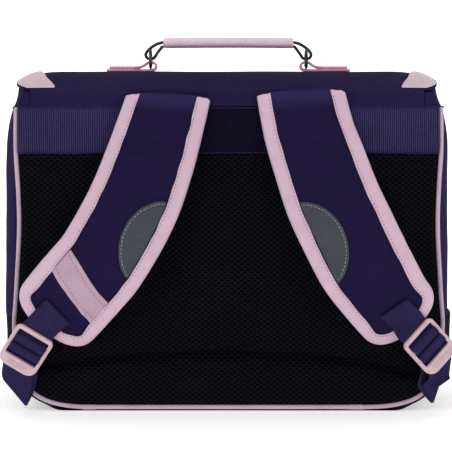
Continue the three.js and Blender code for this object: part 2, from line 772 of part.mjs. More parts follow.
function buckleGeometry(local) {
  const half = buckleWidth / 2;
  const corner = buckleCorner;
  const foot = buckleFoot;
  const shape = new THREE.Shape();
  shape.moveTo(-half + corner, 0);
  shape.lineTo(half - corner, 0);
  shape.absarc(half - corner, corner, corner, -Math.PI / 2, 0);
  shape.lineTo(half, buckleLength - foot);
  shape.absarc(half - foot, buckleLength - foot, foot, 0, Math.PI / 2);
  shape.lineTo(-half + foot, buckleLength);
  shape.absarc(-half + foot, buckleLength - foot, foot, Math.PI / 2, Math.PI);
  shape.lineTo(-half, corner);
  shape.absarc(-half + corner, corner, corner, Math.PI, 1.5 * Math.PI);
  const windowHalf = webbingWidth / 2 + gap;
  const windows = [
    [topBar, firstBar],
    [firstBar + innerBar, secondBar],
    [secondBar + innerBar, liftBar],
  ];
  windows.forEach(([from, to]) => {
    const corners = [[-windowHalf, from], [windowHalf, from], [windowHalf, to], [-windowHalf, to]];
    shape.holes.push(new THREE.Path(corners.map(([x, y]) => new THREE.Vector2(x, y))));
  });
  const plate = { depth: buckleWall, bevelEnabled: false, curveSegments: 3 };
  const solid = new THREE.ExtrudeGeometry(shape, plate);
  solid.translate(0, 0, -buckleWall / 2);
  const matrix = new THREE.Matrix4().makeBasis(local.across, local.down, local.out);
  solid.applyMatrix4(matrix.setPosition(local.origin));
  if (matrix.determinant() < 0) flipFaces(solid);
  return solid;
}

// Turns every triangle of an unindexed geometry round.
function flipFaces(geometry) {
  const place = geometry.getAttribute("position");
  for (let i = 0; i < place.count; i += 3) {
    const a = new THREE.Vector3().fromBufferAttribute(place, i);
    const b = new THREE.Vector3().fromBufferAttribute(place, i + 1);
    place.setXYZ(i, b.x, b.y, b.z);
    place.setXYZ(i + 1, a.x, a.y, a.z);
  }
}

// A ribbon of webbing: its route is drawn from the side, as lengths down and out. Each row may slide
// across, be cut askew, and lie flat at a depth position of the bag instead of in the buckle's plane.
function ribbon(local, route) {
  const level = (s, y) => (y - local.origin.y - s * local.down.y) / local.out.y;
  const line = route.map(({ s, n, y }) => new THREE.Vector2(s, n ?? level(s, y)));
  const half = webbingWall / 2;
  const [upper, lower] = [offsetLine(line, half), offsetLine(line, -half)];
  const rings = route.map(({ slide = 0, skew = 0, turn = 1, y, turned = 1 }, i) => {
    const face = (flat, sign) =>
      [-0.5, 0.5].map((share) => {
        const a = share * webbingWidth;
        const spot = local.place(a + slide, flat[i].x + skew * a, flat[i].y, turn);
        return y === undefined ? spot : spot.setY(y - sign * turned * half);
      });
    return sheetRing(face(upper, 1), face(lower, -1));
  });
  return loft(rings);
}

// An arc of route points over a bar.
function overBar(centre) {
  return spread(Math.PI, 0, 6).map((angle) => ({
    s: centre + wrapRadius * Math.cos(angle),
    n: wrapRadius * Math.sin(angle),
  }));
}

function padWebbing(local, name) {
  const lean = webbingLean[name];
  const centre = firstBar + innerBar / 2;
  const before = centre - wrapRadius;
  const sewn = spread(-webbingPatch, -twistRun, 2).map((s) => {
    return { s, n: frontLayer, slide: -lean * s, turn: 0 };
  });
  return ribbon(local, [
    ...sewn,
    { s: -twistRun / 2, n: frontLayer, slide: (lean * twistRun) / 2, turn: 0.5 },
    { s: -gap, n: frontLayer },
    { s: before - 2.6, n: frontLayer },
    { s: before - 0.7, n: 0.55 * frontLayer },
    ...overBar(centre),
    { s: centre + wrapRadius - 0.8, n: 0.62 * backLayer },
    { s: centre + 0.6, n: backLayer },
    { s: topBar, n: backLayer },
  ]);
}

function lowerWebbing(local, name) {
  const centre = secondBar + innerBar / 2;
  const lean = tailLean[name];
  const behind = (s) => 0.9 * lean * Math.max(0, s - centre - 1);
  const before = (s) => lean * Math.max(0, s - liftBar - 2);
  const seatY = backPlane - 0.6 * panelPillow - gap - webbingWall / 2;
  const layered = webbingWall + 2 * gap;
  const skew = tailSkew[name];
  const end = webbingTail[name];
  const seatFrom = end - seatLength;
  return ribbon(local, [
    { s: end, y: seatY, slide: behind(end), skew, turned: -1 },
    { s: seatFrom, y: seatY, slide: behind(seatFrom), turned: -1 },
    { s: liftBar + 1, n: backLayer, slide: behind(liftBar + 1) },
    { s: centre + 1, n: backLayer },
    { s: centre - wrapRadius + 1, n: 0.62 * backLayer },
    ...overBar(centre),
    { s: centre + wrapRadius + 0.7, n: 0.55 * frontLayer },
    { s: centre + wrapRadius + 2.6, n: frontLayer },
    { s: liftBar + 3, n: frontLayer, slide: before(liftBar + 3) },
    { s: buckleLength + 1, n: frontLayer, slide: before(buckleLength + 1) },
    { s: seatFrom + 2, y: seatY - layered - 1, slide: before(seatFrom + 2) },
    { s: end, y: seatY - layered, slide: before(end), skew },
  ]);
}

// Hidden front clasps: a plain stepped block over the flap's lower edge.
function claspGeometry(side) {
  const low = flapFrontEnd - claspHeight / 2;
  const panelFace = halfDepth + frontBulge + gap;
  const face = flapFront + gap + claspWall;
  const corners = [
    [panelFace, low], [face - 1.5, low], [face, low + 1.5], [face, low + claspHeight - 1.5],
    [face - 1.5, low + claspHeight], [flapFront + gap, low + claspHeight],
    [flapFront + gap, flapFrontEnd - 2 * gap], [panelFace, flapFrontEnd - 2 * gap],
  ];
  const shape = new THREE.Shape(corners.map(([y, z]) => new THREE.Vector2(y, z)));
  const solid = new THREE.ExtrudeGeometry(shape, { depth: claspWidth, bevelEnabled: false });
  const turned = new THREE.Matrix4().makeBasis(point(0, 1, 0), point(0, 0, 1), point(1, 0, 0));
  solid.applyMatrix4(turned);
  solid.translate(side * claspPlace - claspWidth / 2, 0, 0);
  return solid;
}

// The whole

const finishes = {
  navy: { color: 0x28204a, roughness: 0.85 },
  mesh: { color: 0x141318, roughness: 0.9 },
  black: { color: 0x17151c, roughness: 0.85 },
  pink: { color: 0xd0b2c1, roughness: 0.7 },
  leather: { color: 0xcbb4c0, roughness: 0.6 },
  reflective: { color: 0x474a52, roughness: 0.5 },
  webbing: { color: 0x2c2549, roughness: 0.8 },
  plastic: { color: 0xc4a8b2, roughness: 0.4 },
  metal: { color: 0x2a2a2e, roughness: 0.35, metalness: 0.9 },
};

const satchel = new THREE.Group();
const carryHandle = new THREE.Group();
satchel.add(carryHandle);

function add(name, geometry, finish, group = satchel) {
  const mesh = new THREE.Mesh(geometry, new THREE.MeshStandardMaterial(finishes[finish]));
  mesh.name = name;
  group.add(mesh);
}

add("back_panel", backPanel, "mesh");
add("back_band", bandGeometry(), "webbing");
add("front_panel", frontPanel, "navy");
add("base", baseGeometry(), "black");
add("flap", flap, "navy");
add("piping", piping, "pink");
add("handle_grip", gripGeometry(), "leather", carryHandle);
add("strap_band_left", labelGeometry(strapFrame("left")), "pink");

for (const [name, side] of [["left", -1], ["right", 1]]) {
  const frame = strapFrame(name);
  const local = buckleFrame(name, frame);
  add("side_" + name, sideGusset(side), "navy");
  add("corner_patch_" + name, cornerPatch(side), "leather");
  add("handle_ring_" + name, ringGeometry(side), "black", carryHandle);
  add("handle_link_" + name, linkGeometry(side), "metal");
  add("handle_tab_" + name, tabGeometry(side), "leather");
  add("strap_pad_" + name, padGeometry(frame), "navy");
  add("strap_binding_" + name, bindingGeometry(frame), "pink");
  add("reflector_" + name, reflectorGeometry(frame, -side), "reflective");
  add("pad_webbing_" + name, padWebbing(local, name), "webbing");
  add("buckle_" + name, buckleGeometry(local), "plastic");
  add("lower_webbing_" + name, lowerWebbing(local, name), "webbing");
  add("clasp_" + name, claspGeometry(side), "black");
}

export default satchel;
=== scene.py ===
# A school satchel, seen from its worn side with the padded back and the shoulder straps.
# Lengths are in millimetres until a mesh is made.
import math
import random

import bmesh
import bpy
import numpy as np
from mathutils import Matrix, Vector
from mathutils.bvhtree import BVHTree


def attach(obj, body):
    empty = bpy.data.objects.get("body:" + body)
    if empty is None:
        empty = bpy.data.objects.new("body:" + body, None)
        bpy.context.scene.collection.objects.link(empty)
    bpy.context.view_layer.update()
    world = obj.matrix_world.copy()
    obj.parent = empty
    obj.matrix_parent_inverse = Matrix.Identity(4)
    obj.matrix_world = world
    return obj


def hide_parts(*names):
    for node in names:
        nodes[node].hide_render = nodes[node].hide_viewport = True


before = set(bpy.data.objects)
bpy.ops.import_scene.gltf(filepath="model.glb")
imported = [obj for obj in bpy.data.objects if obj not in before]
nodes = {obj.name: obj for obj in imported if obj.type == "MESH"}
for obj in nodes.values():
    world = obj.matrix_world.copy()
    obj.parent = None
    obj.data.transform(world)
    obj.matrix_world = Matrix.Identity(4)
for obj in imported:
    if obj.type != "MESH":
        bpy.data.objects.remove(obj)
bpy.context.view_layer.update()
dice = random.Random(11)

# The camera stands where the photograph was taken from: level with the bag, a little above its middle.
shot = {"target": (-2.2, -80.0, 166.6), "distance": 1500, "elevation": 4.0, "lens": 134.8}


def addObject(name, data):
    thing = bpy.data.objects.new(name, data)
    bpy.context.scene.collection.objects.link(thing)
    return thing


def aimed(direction):
    return Vector(direction).to_track_quat("-Z", "Y").to_euler()


def placeCamera():
    data = bpy.data.cameras.new("shot")
    data.lens = shot["lens"]
    data.sensor_width = 36
    data.clip_end = 60
    camera = addObject("shot", data)
    lift = math.radians(shot["elevation"])
    back = Vector((0, -math.cos(lift), math.sin(lift)))
    camera.location = (Vector(shot["target"]) + back * shot["distance"]) / 1000
    camera.rotation_euler = aimed(-back)
    bpy.context.scene.camera = camera


placeCamera()
print("camera placed")

# lines and grids of points


def smoothstep(value, low=0.0, high=1.0):
    t = np.clip((np.asarray(value, float) - low) / (high - low), 0, 1)
    return t * t * (3 - 2 * t)


def unit(v):
    v = np.asarray(v, float)
    return v / np.maximum(np.linalg.norm(v, axis=-1, keepdims=True), 1e-9)


def runsOf(line):
    # Distances along a line from its start
    return np.concatenate([[0], np.cumsum(np.linalg.norm(np.diff(line, axis=0), axis=1))])


def resample(line, step):
    line = np.asarray(line, float)
    lengths = runsOf(line)
    count = max(2, int(round(lengths[-1] / step)) + 1)
    places = np.linspace(0, lengths[-1], count)
    return np.stack([np.interp(places, lengths, line[:, k]) for k in range(line.shape[1])], 1)


def curveThrough(points, perSpan=12):
    # A smooth line through points; it works on rows of a grid as well
    p = np.asarray(points, float)
    last = len(p) - 1
    t = np.linspace(0, 1, perSpan, endpoint=False).reshape([-1] + [1] * (p.ndim - 1))
    spans = []
    for i in range(last):
        a, b, c, d = p[max(i - 1, 0)], p[i], p[i + 1], p[min(i + 2, last)]
        bend, turn = 2 * a - 5 * b + 4 * c - d, 3 * b - a - 3 * c + d
        spans.append(0.5 * (2 * b + (c - a) * t + bend * t**2 + turn * t**3))
    return np.concatenate(spans + [p[-1:]])


def smoothLine(points, step):
    return resample(curveThrough(points), step)


def gridNormals(grid):
    return unit(np.cross(np.gradient(grid, axis=1), np.gradient(grid, axis=0)))


def lineNormals(line):
    # Square to a flat line, on its left
    along = unit(np.gradient(line, axis=0))
    return np.stack([-along[:, 1], along[:, 0]], 1)


def ripple(u, v, size, seed):
    # A soft unevenness between -1 and 1, the same on every run
    pick = random.Random(seed)
    total = np.zeros(np.broadcast(u, v).shape)
    for _ in range(5):
        turn = pick.uniform(0, 2 * math.pi)
        wave = size * pick.uniform(0.7, 1.6)
        total += np.sin((u * math.cos(turn) + v * math.sin(turn)) * 2 * math.pi / wave + pick.uniform(0, 6.3))
    return total / 3.2


# meshes


def makePiece(name, vertices, faces, finish, uvs=None):
    data = bpy.data.meshes.new(name)
    data.from_pydata([tuple(v) for v in np.asarray(vertices, float) / 1000], [], faces)
    if uvs is not None:
        layer = data.uv_layers.new(name="lay")
        flat = np.asarray(uvs, float) / 1000
        index = np.zeros(len(data.loops), int)
        data.loops.foreach_get("vertex_index", index)
        layer.data.foreach_set("uv", flat[index].ravel())
    work = bmesh.new()
    work.from_mesh(data)
    bmesh.ops.remove_doubles(work, verts=work.verts, dist=2e-6)
    bmesh.ops.dissolve_degenerate(work, dist=1e-6, edges=work.edges)
    bmesh.ops.recalc_face_normals(work, faces=work.faces)
    for face in work.faces:
        face.smooth = True
    work.to_mesh(data)
    work.free()
    data.materials.append(finishes[finish])
    return addObject(name, data)


def settle(piece, slot, *replaced, body="bag"):
    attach(piece, body)
    if replaced:
        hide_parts(*replaced)
    return piece


def ringFaces(rings, sides, closed=False):
    # Quads between rings of points in a row, and a face over each open end
    faces = []
    for i in range(rings if closed else rings - 1):
        start, after = i * sides, (i + 1) % rings * sides
        for k in range(sides):
            other = (k + 1) % sides
            faces.append((start + k, start + other, after + other, after + k))
    if not closed:
        faces += [tuple(range(sides))[::-1], tuple((rings - 1) * sides + k for k in range(sides))]
    return faces


def gridFaces(rows, columns, start=0, flip=False):
    faces = []
    for i in range(rows - 1):
        for j in range(columns - 1):
            a = start + i * columns + j
            quad = (a, a + 1, a + columns + 1, a + columns)
            faces.append(quad[::-1] if flip else quad)
    return faces


def roundedRim(outer, inner, lay, axis, atEnd, full):
    # Adds a half round at one side of a sheet, where its two faces meet
    o, i, w = (np.moveaxis(g, axis, 0) for g in (outer, inner, lay))
    if not atEnd:
        o, i, w = o[::-1], i[::-1], w[::-1]
    middle, reach = (o[-1] + i[-1]) / 2, (o[-1] - i[-1]) / 2
    away = unit(o[-1] - o[-2] + i[-1] - i[-2]) * np.linalg.norm(reach, axis=-1, keepdims=True) * full
    newOuter, newInner, newLay = [o], [i], [w]
    for degrees in (35, 65, 90):
        c, s = math.cos(math.radians(degrees)), math.sin(math.radians(degrees))
        newOuter.append((middle + reach * c + away * s)[None])
        newInner.append((middle - reach * c + away * s)[None])
        newLay.append((w[-1] + (w[-1] - w[-2]) * 0.1 * s)[None])
    grids = [np.concatenate(g) for g in (newOuter, newInner, newLay)]
    if not atEnd:
        grids = [g[::-1] for g in grids]
    return [np.moveaxis(g, 0, axis) for g in grids]


def sheetPiece(name, outer, inner, lay, finish, rims="tblr", full=0.8):
    # A sheet between two grids of points. Its named sides (top, bottom, left, right) are rounded
    for key, axis, atEnd in (("l", 1, False), ("r", 1, True), ("t", 0, False), ("b", 0, True)):
        if key in rims:
            outer, inner, lay = roundedRim(outer, inner, lay, axis, atEnd, full)
    rows, columns = outer.shape[:2]
    count = rows * columns
    faces = gridFaces(rows, columns) + gridFaces(rows, columns, count, True)
    index = np.arange(count).reshape(rows, columns)
    for key, border in (("t", index[0]), ("b", index[-1]), ("l", index[:, 0]), ("r", index[:, -1])):
        if key not in rims:
            border = border.tolist()
            faces += [(a, b, b + count, a + count) for a, b in zip(border, border[1:])]
    points = np.concatenate([outer.reshape(-1, 3), inner.reshape(-1, 3)])
    uvs = np.concatenate([lay.reshape(-1, 2), lay.reshape(-1, 2)])
    return makePiece(name, points, faces, finish, uvs)


def tubeMesh(line, radius, sides, closed=False, flatness=1.0):
    line = np.asarray(line, float)
    n = len(line)
    ahead = np.roll(line, -1, axis=0) if closed else np.vstack([line[1:], line[-1:] * 2 - line[-2:-1]])
    behind = np.roll(line, 1, axis=0) if closed else np.vstack([line[:1] * 2 - line[1:2], line[:-1]])
    along = unit(ahead - behind)
    side = np.array([0.0, 1.0, 0.0])
    if abs(along[0] @ side) > 0.8:
        side = np.array([1.0, 0.0, 0.0])
    points, uvs, run = [], [], 0.0
    radii = np.broadcast_to(np.asarray(radius, float), (n,))
    for i in range(n):
        side = unit(side - along[i] * (side @ along[i]))
        up = np.cross(along[i], side)
        run += np.linalg.norm(line[i] - line[i - 1]) if i else 0
        for k in range(sides):
            angle = 2 * math.pi * k / sides
            points.append(line[i] + radii[i] * (side * math.cos(angle) * flatness + up * math.sin(angle)))
            uvs.append((radii[i] * angle, run))
    return points, ringFaces(n, sides, closed), uvs


def tubePiece(name, line, radius, sides, finish, closed=False, flatness=1.0):
    points, faces, uvs = tubeMesh(line, radius, sides, closed, flatness)
    return makePiece(name, points, faces, finish, uvs)


class Bundle:
    # Small shapes that are gathered into one piece, such as a row of stitches
    def __init__(self):
        self.points, self.faces = [], []

    def add(self, points, faces):
        start = len(self.points)
        self.points.extend(points)
        self.faces.extend(tuple(start + k for k in face) for face in faces)

    def settle(self, name, finish, slot, body="bag"):
        return settle(makePiece(name, self.points, self.faces, finish), slot, body=body)


stitches = {
    # length, space between two, and the thread's radius
    "binding": (1.8, 1.6, 0.27), "reflector": (2.4, 1.0, 0.28), "label": (2.6, 1.2, 0.26),
    "pad": (2.4, 1.0, 0.3), "grip": (3.2, 1.2, 0.25), "tab": (2.4, 1.0, 0.26), "fold": (2.6, 1.0, 0.2),
    # share of the length, rise over the cloth and thickness: each stitch dives into the cloth at both ends
    "profile": [(0.0, -1.1, 0.5), (0.16, 0.1, 1.0), (0.5, 0.35, 1.05), (0.84, 0.1, 1.0), (1.0, -1.1, 0.5)],
    "sides": 6, "jitter": 0.12,
}


def sewAlong(bundle, line, ups, kind):
    # A row of stitches along a line
    length, space, radius = stitches[kind]
    line, ups = np.asarray(line, float), np.asarray(ups, float)
    lengths = runsOf(line)
    at = lambda run: np.array([np.interp(run, lengths, line[:, k]) for k in range(3)])
    upAt = lambda run: unit([np.interp(run, lengths, ups[:, k]) for k in range(3)])
    count = max(1, int(lengths[-1] / (length + space)))
    pitch = lengths[-1] / count
    sides = stitches["sides"]
    for i in range(count):
        begin = i * pitch + space / 2
        jitter = dice.uniform(-stitches["jitter"], stitches["jitter"])
        points = []
        for share, rise, swell in stitches["profile"]:
            run = begin + (pitch - space) * share
            centre, up = at(run), upAt(run)
            along = unit(at(run + 0.2) - at(run - 0.2) + 1e-6)
            side = np.cross(along, up)
            centre = centre + up * radius * rise + side * jitter
            for k in range(sides):
                angle = 2 * math.pi * k / sides
                points.append(centre + radius * swell * (side * math.cos(angle) + up * math.sin(angle)))
        bundle.add(points, ringFaces(len(stitches["profile"]), sides))


def vertexValues(data, what):
    values = np.zeros(len(data.vertices) * 3)
    data.vertices.foreach_get(what, values)
    return values.reshape(-1, 3)


softening = {"joinAngle": 30, "shapeAngle": 60, "creaseAngle": 42, "crease": 0.75}


def softCopy(node, name, finish, levels=2, shape=None):
    # A finer copy of a lofted part: its quads are found again and subdivided, with its rims kept crisp
    data = nodes[node].data.copy()
    data.name = name
    work = bmesh.new()
    work.from_mesh(data)
    bmesh.ops.remove_doubles(work, verts=work.verts, dist=2e-5)
    bmesh.ops.join_triangles(
        work, faces=work.faces, angle_face_threshold=math.radians(softening["joinAngle"]),
        angle_shape_threshold=math.radians(softening["shapeAngle"]),
    )
    creases = work.edges.layers.float.new("crease_edge")
    for edge in work.edges:
        if len(edge.link_faces) == 2 and edge.calc_face_angle(0) > math.radians(softening["creaseAngle"]):
            edge[creases] = softening["crease"]
    work.to_mesh(data)
    work.free()
    data.materials.clear()
    data.materials.append(finishes[finish])
    piece = addObject(name, data)
    piece.matrix_world = Matrix.Identity(4)
    smoother = piece.modifiers.new("smoother", "SUBSURF")
    smoother.levels = smoother.render_levels = levels
    bpy.context.view_layer.update()
    ready = bpy.data.meshes.new_from_object(piece.evaluated_get(bpy.context.evaluated_depsgraph_get()))
    piece.modifiers.clear()
    piece.data = ready
    if shape is not None:
        points, normals = vertexValues(ready, "co") * 1000, vertexValues(ready, "normal")
        ready.vertices.foreach_set("co", (shape(points, normals) / 1000).ravel())
        ready.update()
    for polygon in ready.polygons:
        polygon.use_smooth = True
    return piece


def inflate(grid, sewn, pressure, cap, spread=0.012, frames=20):
    # How far the cloth of a padded piece moves when it is blown up between its seams
    rows, columns = grid.shape[:2]
    n = np.cross(grid[0, -1] - grid[0, 0], grid[-1, 0] - grid[0, 0])
    data = bpy.data.meshes.new("inflating")
    data.from_pydata((grid / 1000).reshape(-1, 3).tolist(), [], gridFaces(rows, columns, flip=n[1] > 0))
    piece = addObject("inflating", data)
    scene = bpy.context.scene
    piece.vertex_groups.new(name="sewn").add([int(k) for k in np.flatnonzero(sewn.ravel())], 1.0, "REPLACE")
    cloth = piece.modifiers.new("inflate", "CLOTH")
    how = cloth.settings
    how.quality, how.mass, how.bending_stiffness = 6, 0.15, 0.4
    how.tension_stiffness, how.compression_stiffness, how.shear_stiffness = 14, 8, 4
    how.vertex_group_mass = "sewn"
    how.use_pressure, how.uniform_pressure_force = True, pressure
    how.effector_weights.gravity = 0
    how.shrink_min = -spread
    cloth.collision_settings.use_collision = False
    cloth.point_cache.frame_start, cloth.point_cache.frame_end = 1, frames
    for number in range(1, frames + 1):
        scene.frame_set(number)
    ready = piece.evaluated_get(bpy.context.evaluated_depsgraph_get())
    points = vertexValues(ready.data, "co")
    bpy.data.objects.remove(piece)
    scene.frame_set(1)
    move = points.reshape(grid.shape) * 1000 - grid
    size = np.linalg.norm(move, axis=-1, keepdims=True)
    return move * np.minimum(1, cap / np.maximum(size, 1e-6))


def spreadOver(values, rowAt, columnAt):
    # Values of a coarse grid at places given in its rows and columns
    fine = curveThrough(np.moveaxis(curveThrough(values, 3), 1, 0), 3).swapaxes(0, 1)
    r = np.clip(np.asarray(rowAt) * 3, 0, fine.shape[0] - 1.001)
    c = np.clip(np.asarray(columnAt) * 3, 0, fine.shape[1] - 1.001)
    i, j = r.astype(int), c.astype(int)
    a, b = r - i, c - j
    upper = fine[i, j] * (1 - b) + fine[i, j + 1] * b
    lower = fine[i + 1, j] * (1 - b) + fine[i + 1, j + 1] * b
    return upper * (1 - a) + lower * a


def surfaceOf(piece):
    data = piece.data
    points = [v.co.copy() for v in data.vertices]
    return BVHTree.FromPolygons(points, [tuple(p.vertices) for p in data.polygons])


def landOn(tree, places, direction):
    # Points and normals where parallel rays meet a surface
    points, ups = [], []
    for place in places:
        hit, normal, _, _ = tree.ray_cast(Vector(place) / 1000, Vector(direction))
        if hit is None:
            continue
        points.append(np.array(hit) * 1000)
        ups.append(np.array(normal if normal.dot(Vector(direction)) < 0 else -normal))
    return points, ups


# shader groups


def colour(red, green, blue):
    # From screen values, 0 to 255
    linear = [((c / 255 + 0.055) / 1.055) ** 2.4 if c > 10 else c / 255 / 12.92 for c in (red, green, blue)]
    return (*linear, 1.0)


def newGroup(name, inputs, outputs):
    # An input's value tells its kind: none for a place, four numbers for a colour, or one number
    tree = bpy.data.node_groups.new(name, "ShaderNodeTree")
    for label, value in inputs.items():
        kind = "Vector" if value is None else "Color" if isinstance(value, tuple) else "Float"
        socket = tree.interface.new_socket(label, in_out="INPUT", socket_type="NodeSocket" + kind)
        if value is not None:
            socket.default_value = value
    for label in outputs:
        kind = "Color" if label == "Color" else "Float"
        tree.interface.new_socket(label, in_out="OUTPUT", socket_type="NodeSocket" + kind)
    return tree, tree.nodes.new("NodeGroupInput").outputs, tree.nodes.new("NodeGroupOutput").inputs


def feed(tree, socket, value):
    if isinstance(value, bpy.types.NodeSocket):
        tree.links.new(value, socket)
    elif value is not None:
        socket.default_value = value


def calc(tree, operation, *values, limit=False):
    node = tree.nodes.new("ShaderNodeMath")
    node.operation = operation
    node.use_clamp = limit
    for socket, value in zip(node.inputs, values):
        feed(tree, socket, value)
    return node.outputs[0]


def splitPlace(tree, place):
    node = tree.nodes.new("ShaderNodeSeparateXYZ")
    tree.links.new(place, node.inputs[0])
    return node.outputs


def joinPlace(tree, *values):
    node = tree.nodes.new("ShaderNodeCombineXYZ")
    for socket, value in zip(node.inputs, values):
        tree.links.new(value, socket)
    return node.outputs[0]


def mixColour(tree, share, first, second, blend="MIX"):
    node = tree.nodes.new("ShaderNodeMix")
    node.data_type = "RGBA"
    node.blend_type = blend
    for label, value in (("Factor", share), ("A", first), ("B", second)):
        feed(tree, next(s for s in node.inputs if s.name == label and s.enabled), value)
    return next(s for s in node.outputs if s.enabled)


def noise(tree, place, scale, detail=3.0, rough=0.55):
    node = tree.nodes.new("ShaderNodeTexNoise")
    node.inputs["Scale"].default_value = scale
    node.inputs["Detail"].default_value = detail
    node.inputs["Roughness"].default_value = rough
    feed(tree, node.inputs["Vector"], place)
    return node.outputs[0]


def ramp(tree, value, low, high, toLow=0.0, toHigh=1.0):
    node = tree.nodes.new("ShaderNodeMapRange")
    node.interpolation_type = "SMOOTHSTEP"
    for socket, number in zip(node.inputs, (value, low, high, toLow, toHigh)):
        feed(tree, socket, number)
    return node.outputs[0]


def buildDotLattice():
    # Rows of dots, every second row half a pitch aside: knit holes, woven ribs or needle marks
    tree, start, end = newGroup(
        "dotLattice",
        {"Vector": None, "Pitch": 0.0058, "Row": 0.0024, "Half Width": 0.00125, "Half Height": 0.00075,
         "Softness": 0.35},
        ("Mask", "Tone"),
    )
    x, y, _ = splitPlace(tree, start["Vector"])
    rows = calc(tree, "DIVIDE", y, start["Row"])
    rowIndex = calc(tree, "FLOOR", rows)
    aside = calc(tree, "MULTIPLY", calc(tree, "FLOORED_MODULO", rowIndex, 2.0), 0.5)
    columns = calc(tree, "ADD", calc(tree, "DIVIDE", x, start["Pitch"]), aside)
    across = calc(tree, "SUBTRACT", calc(tree, "FRACT", columns), 0.5)
    down = calc(tree, "SUBTRACT", calc(tree, "FRACT", rows), 0.5)
    x = calc(tree, "DIVIDE", calc(tree, "MULTIPLY", across, start["Pitch"]), start["Half Width"])
    y = calc(tree, "DIVIDE", calc(tree, "MULTIPLY", down, start["Row"]), start["Half Height"])
    far = calc(tree, "SQRT", calc(tree, "ADD", calc(tree, "MULTIPLY", x, x), calc(tree, "MULTIPLY", y, y)))
    low = calc(tree, "SUBTRACT", 1.0, start["Softness"])
    high = calc(tree, "ADD", 1.0, start["Softness"])
    tree.links.new(ramp(tree, far, low, high, 1.0, 0.0), end["Mask"])
    white = tree.nodes.new("ShaderNodeTexWhiteNoise")
    tree.links.new(joinPlace(tree, calc(tree, "FLOOR", columns), rowIndex), white.inputs["Vector"])
    tree.links.new(white.outputs[0], end["Tone"])
    return tree


def buildPatchyCloth():
    # Uneven dye and loose fibres
    tree, start, end = newGroup(
        "patchyCloth",
        {"Vector": None, "Color": (0.1, 0.1, 0.1, 1), "Shade": (0.05, 0.05, 0.05, 1), "Amount": 0.5},
        ("Color", "Fibre", "Broad"),
    )
    broad = noise(tree, start["Vector"], 22.0, 4.0)
    fibre = noise(tree, start["Vector"], 1300.0, 2.0, 0.7)
    mottle = noise(tree, start["Vector"], 260.0, 3.0, 0.6)
    blend = calc(tree, "ADD", calc(tree, "MULTIPLY", broad, 0.5), calc(tree, "MULTIPLY", mottle, 0.5))
    share = calc(tree, "MULTIPLY", ramp(tree, blend, 0.36, 0.64), start["Amount"], limit=True)
    base = mixColour(tree, share, start["Color"], start["Shade"])
    speck = calc(tree, "MULTIPLY", ramp(tree, fibre, 0.55, 0.8, 0.0, 0.35), start["Amount"])
    tree.links.new(mixColour(tree, speck, base, (0.55, 0.52, 0.62, 1), "SOFT_LIGHT"), end["Color"])
    tree.links.new(fibre, end["Fibre"])
    tree.links.new(broad, end["Broad"])
    return tree


def buildLeatherGrain():
    # Fine creased grain for leather and coated tape
    tree, start, end = newGroup("leatherGrain", {"Vector": None, "Cell Scale": 900.0}, ("Height", "Wear"))
    cells = tree.nodes.new("ShaderNodeTexVoronoi")
    cells.feature = "DISTANCE_TO_EDGE"
    tree.links.new(start["Vector"], cells.inputs["Vector"])
    tree.links.new(start["Cell Scale"], cells.inputs["Scale"])
    crease = ramp(tree, cells.outputs["Distance"], 0.0, 0.22)
    fine = calc(tree, "MULTIPLY", noise(tree, start["Vector"], 2200.0, 2.0), 0.3)
    tree.links.new(calc(tree, "ADD", calc(tree, "MULTIPLY", crease, 0.7), fine), end["Height"])
    tree.links.new(ramp(tree, noise(tree, start["Vector"], 60.0, 5.0, 0.65), 0.42, 0.68), end["Wear"])
    return tree


dotLattice = buildDotLattice()
patchyCloth = buildPatchyCloth()
leatherGrain = buildLeatherGrain()


def useGroup(tree, group, **values):
    node = tree.nodes.new("ShaderNodeGroup")
    node.node_tree = group
    for label, value in values.items():
        feed(tree, node.inputs[label.replace("_", " ")], value)
    return node.outputs


def newFinish(name, rough, metallic=0.0, sheen=0.0, specular=0.5):
    finish = bpy.data.materials.new(name)
    finish.use_nodes = True
    shader = finish.node_tree.nodes["Principled BSDF"]
    values = {"Roughness": rough, "Metallic": metallic, "Sheen Weight": sheen, "Sheen Roughness": 0.4,
              "Specular IOR Level": specular}
    for label, value in values.items():
        shader.inputs[label].default_value = value
    return finish, finish.node_tree, shader


def bumpFrom(tree, shader, height, distance, strength=1.0):
    node = tree.nodes.new("ShaderNodeBump")
    node.inputs["Distance"].default_value = distance
    node.inputs["Strength"].default_value = strength
    feed(tree, node.inputs["Height"], height)
    tree.links.new(node.outputs[0], shader.inputs["Normal"])


def placeOn(tree, kind, order="xyz"):
    # Texture place: "Object" for the bag's own axes, "UV" for the lay of a strap or ribbon
    where = tree.nodes.new("ShaderNodeTexCoord").outputs[kind]
    if order == "xyz":
        return where
    parts = dict(zip("xyz", splitPlace(tree, where)))
    return joinPlace(tree, *(parts[axis] for axis in order))


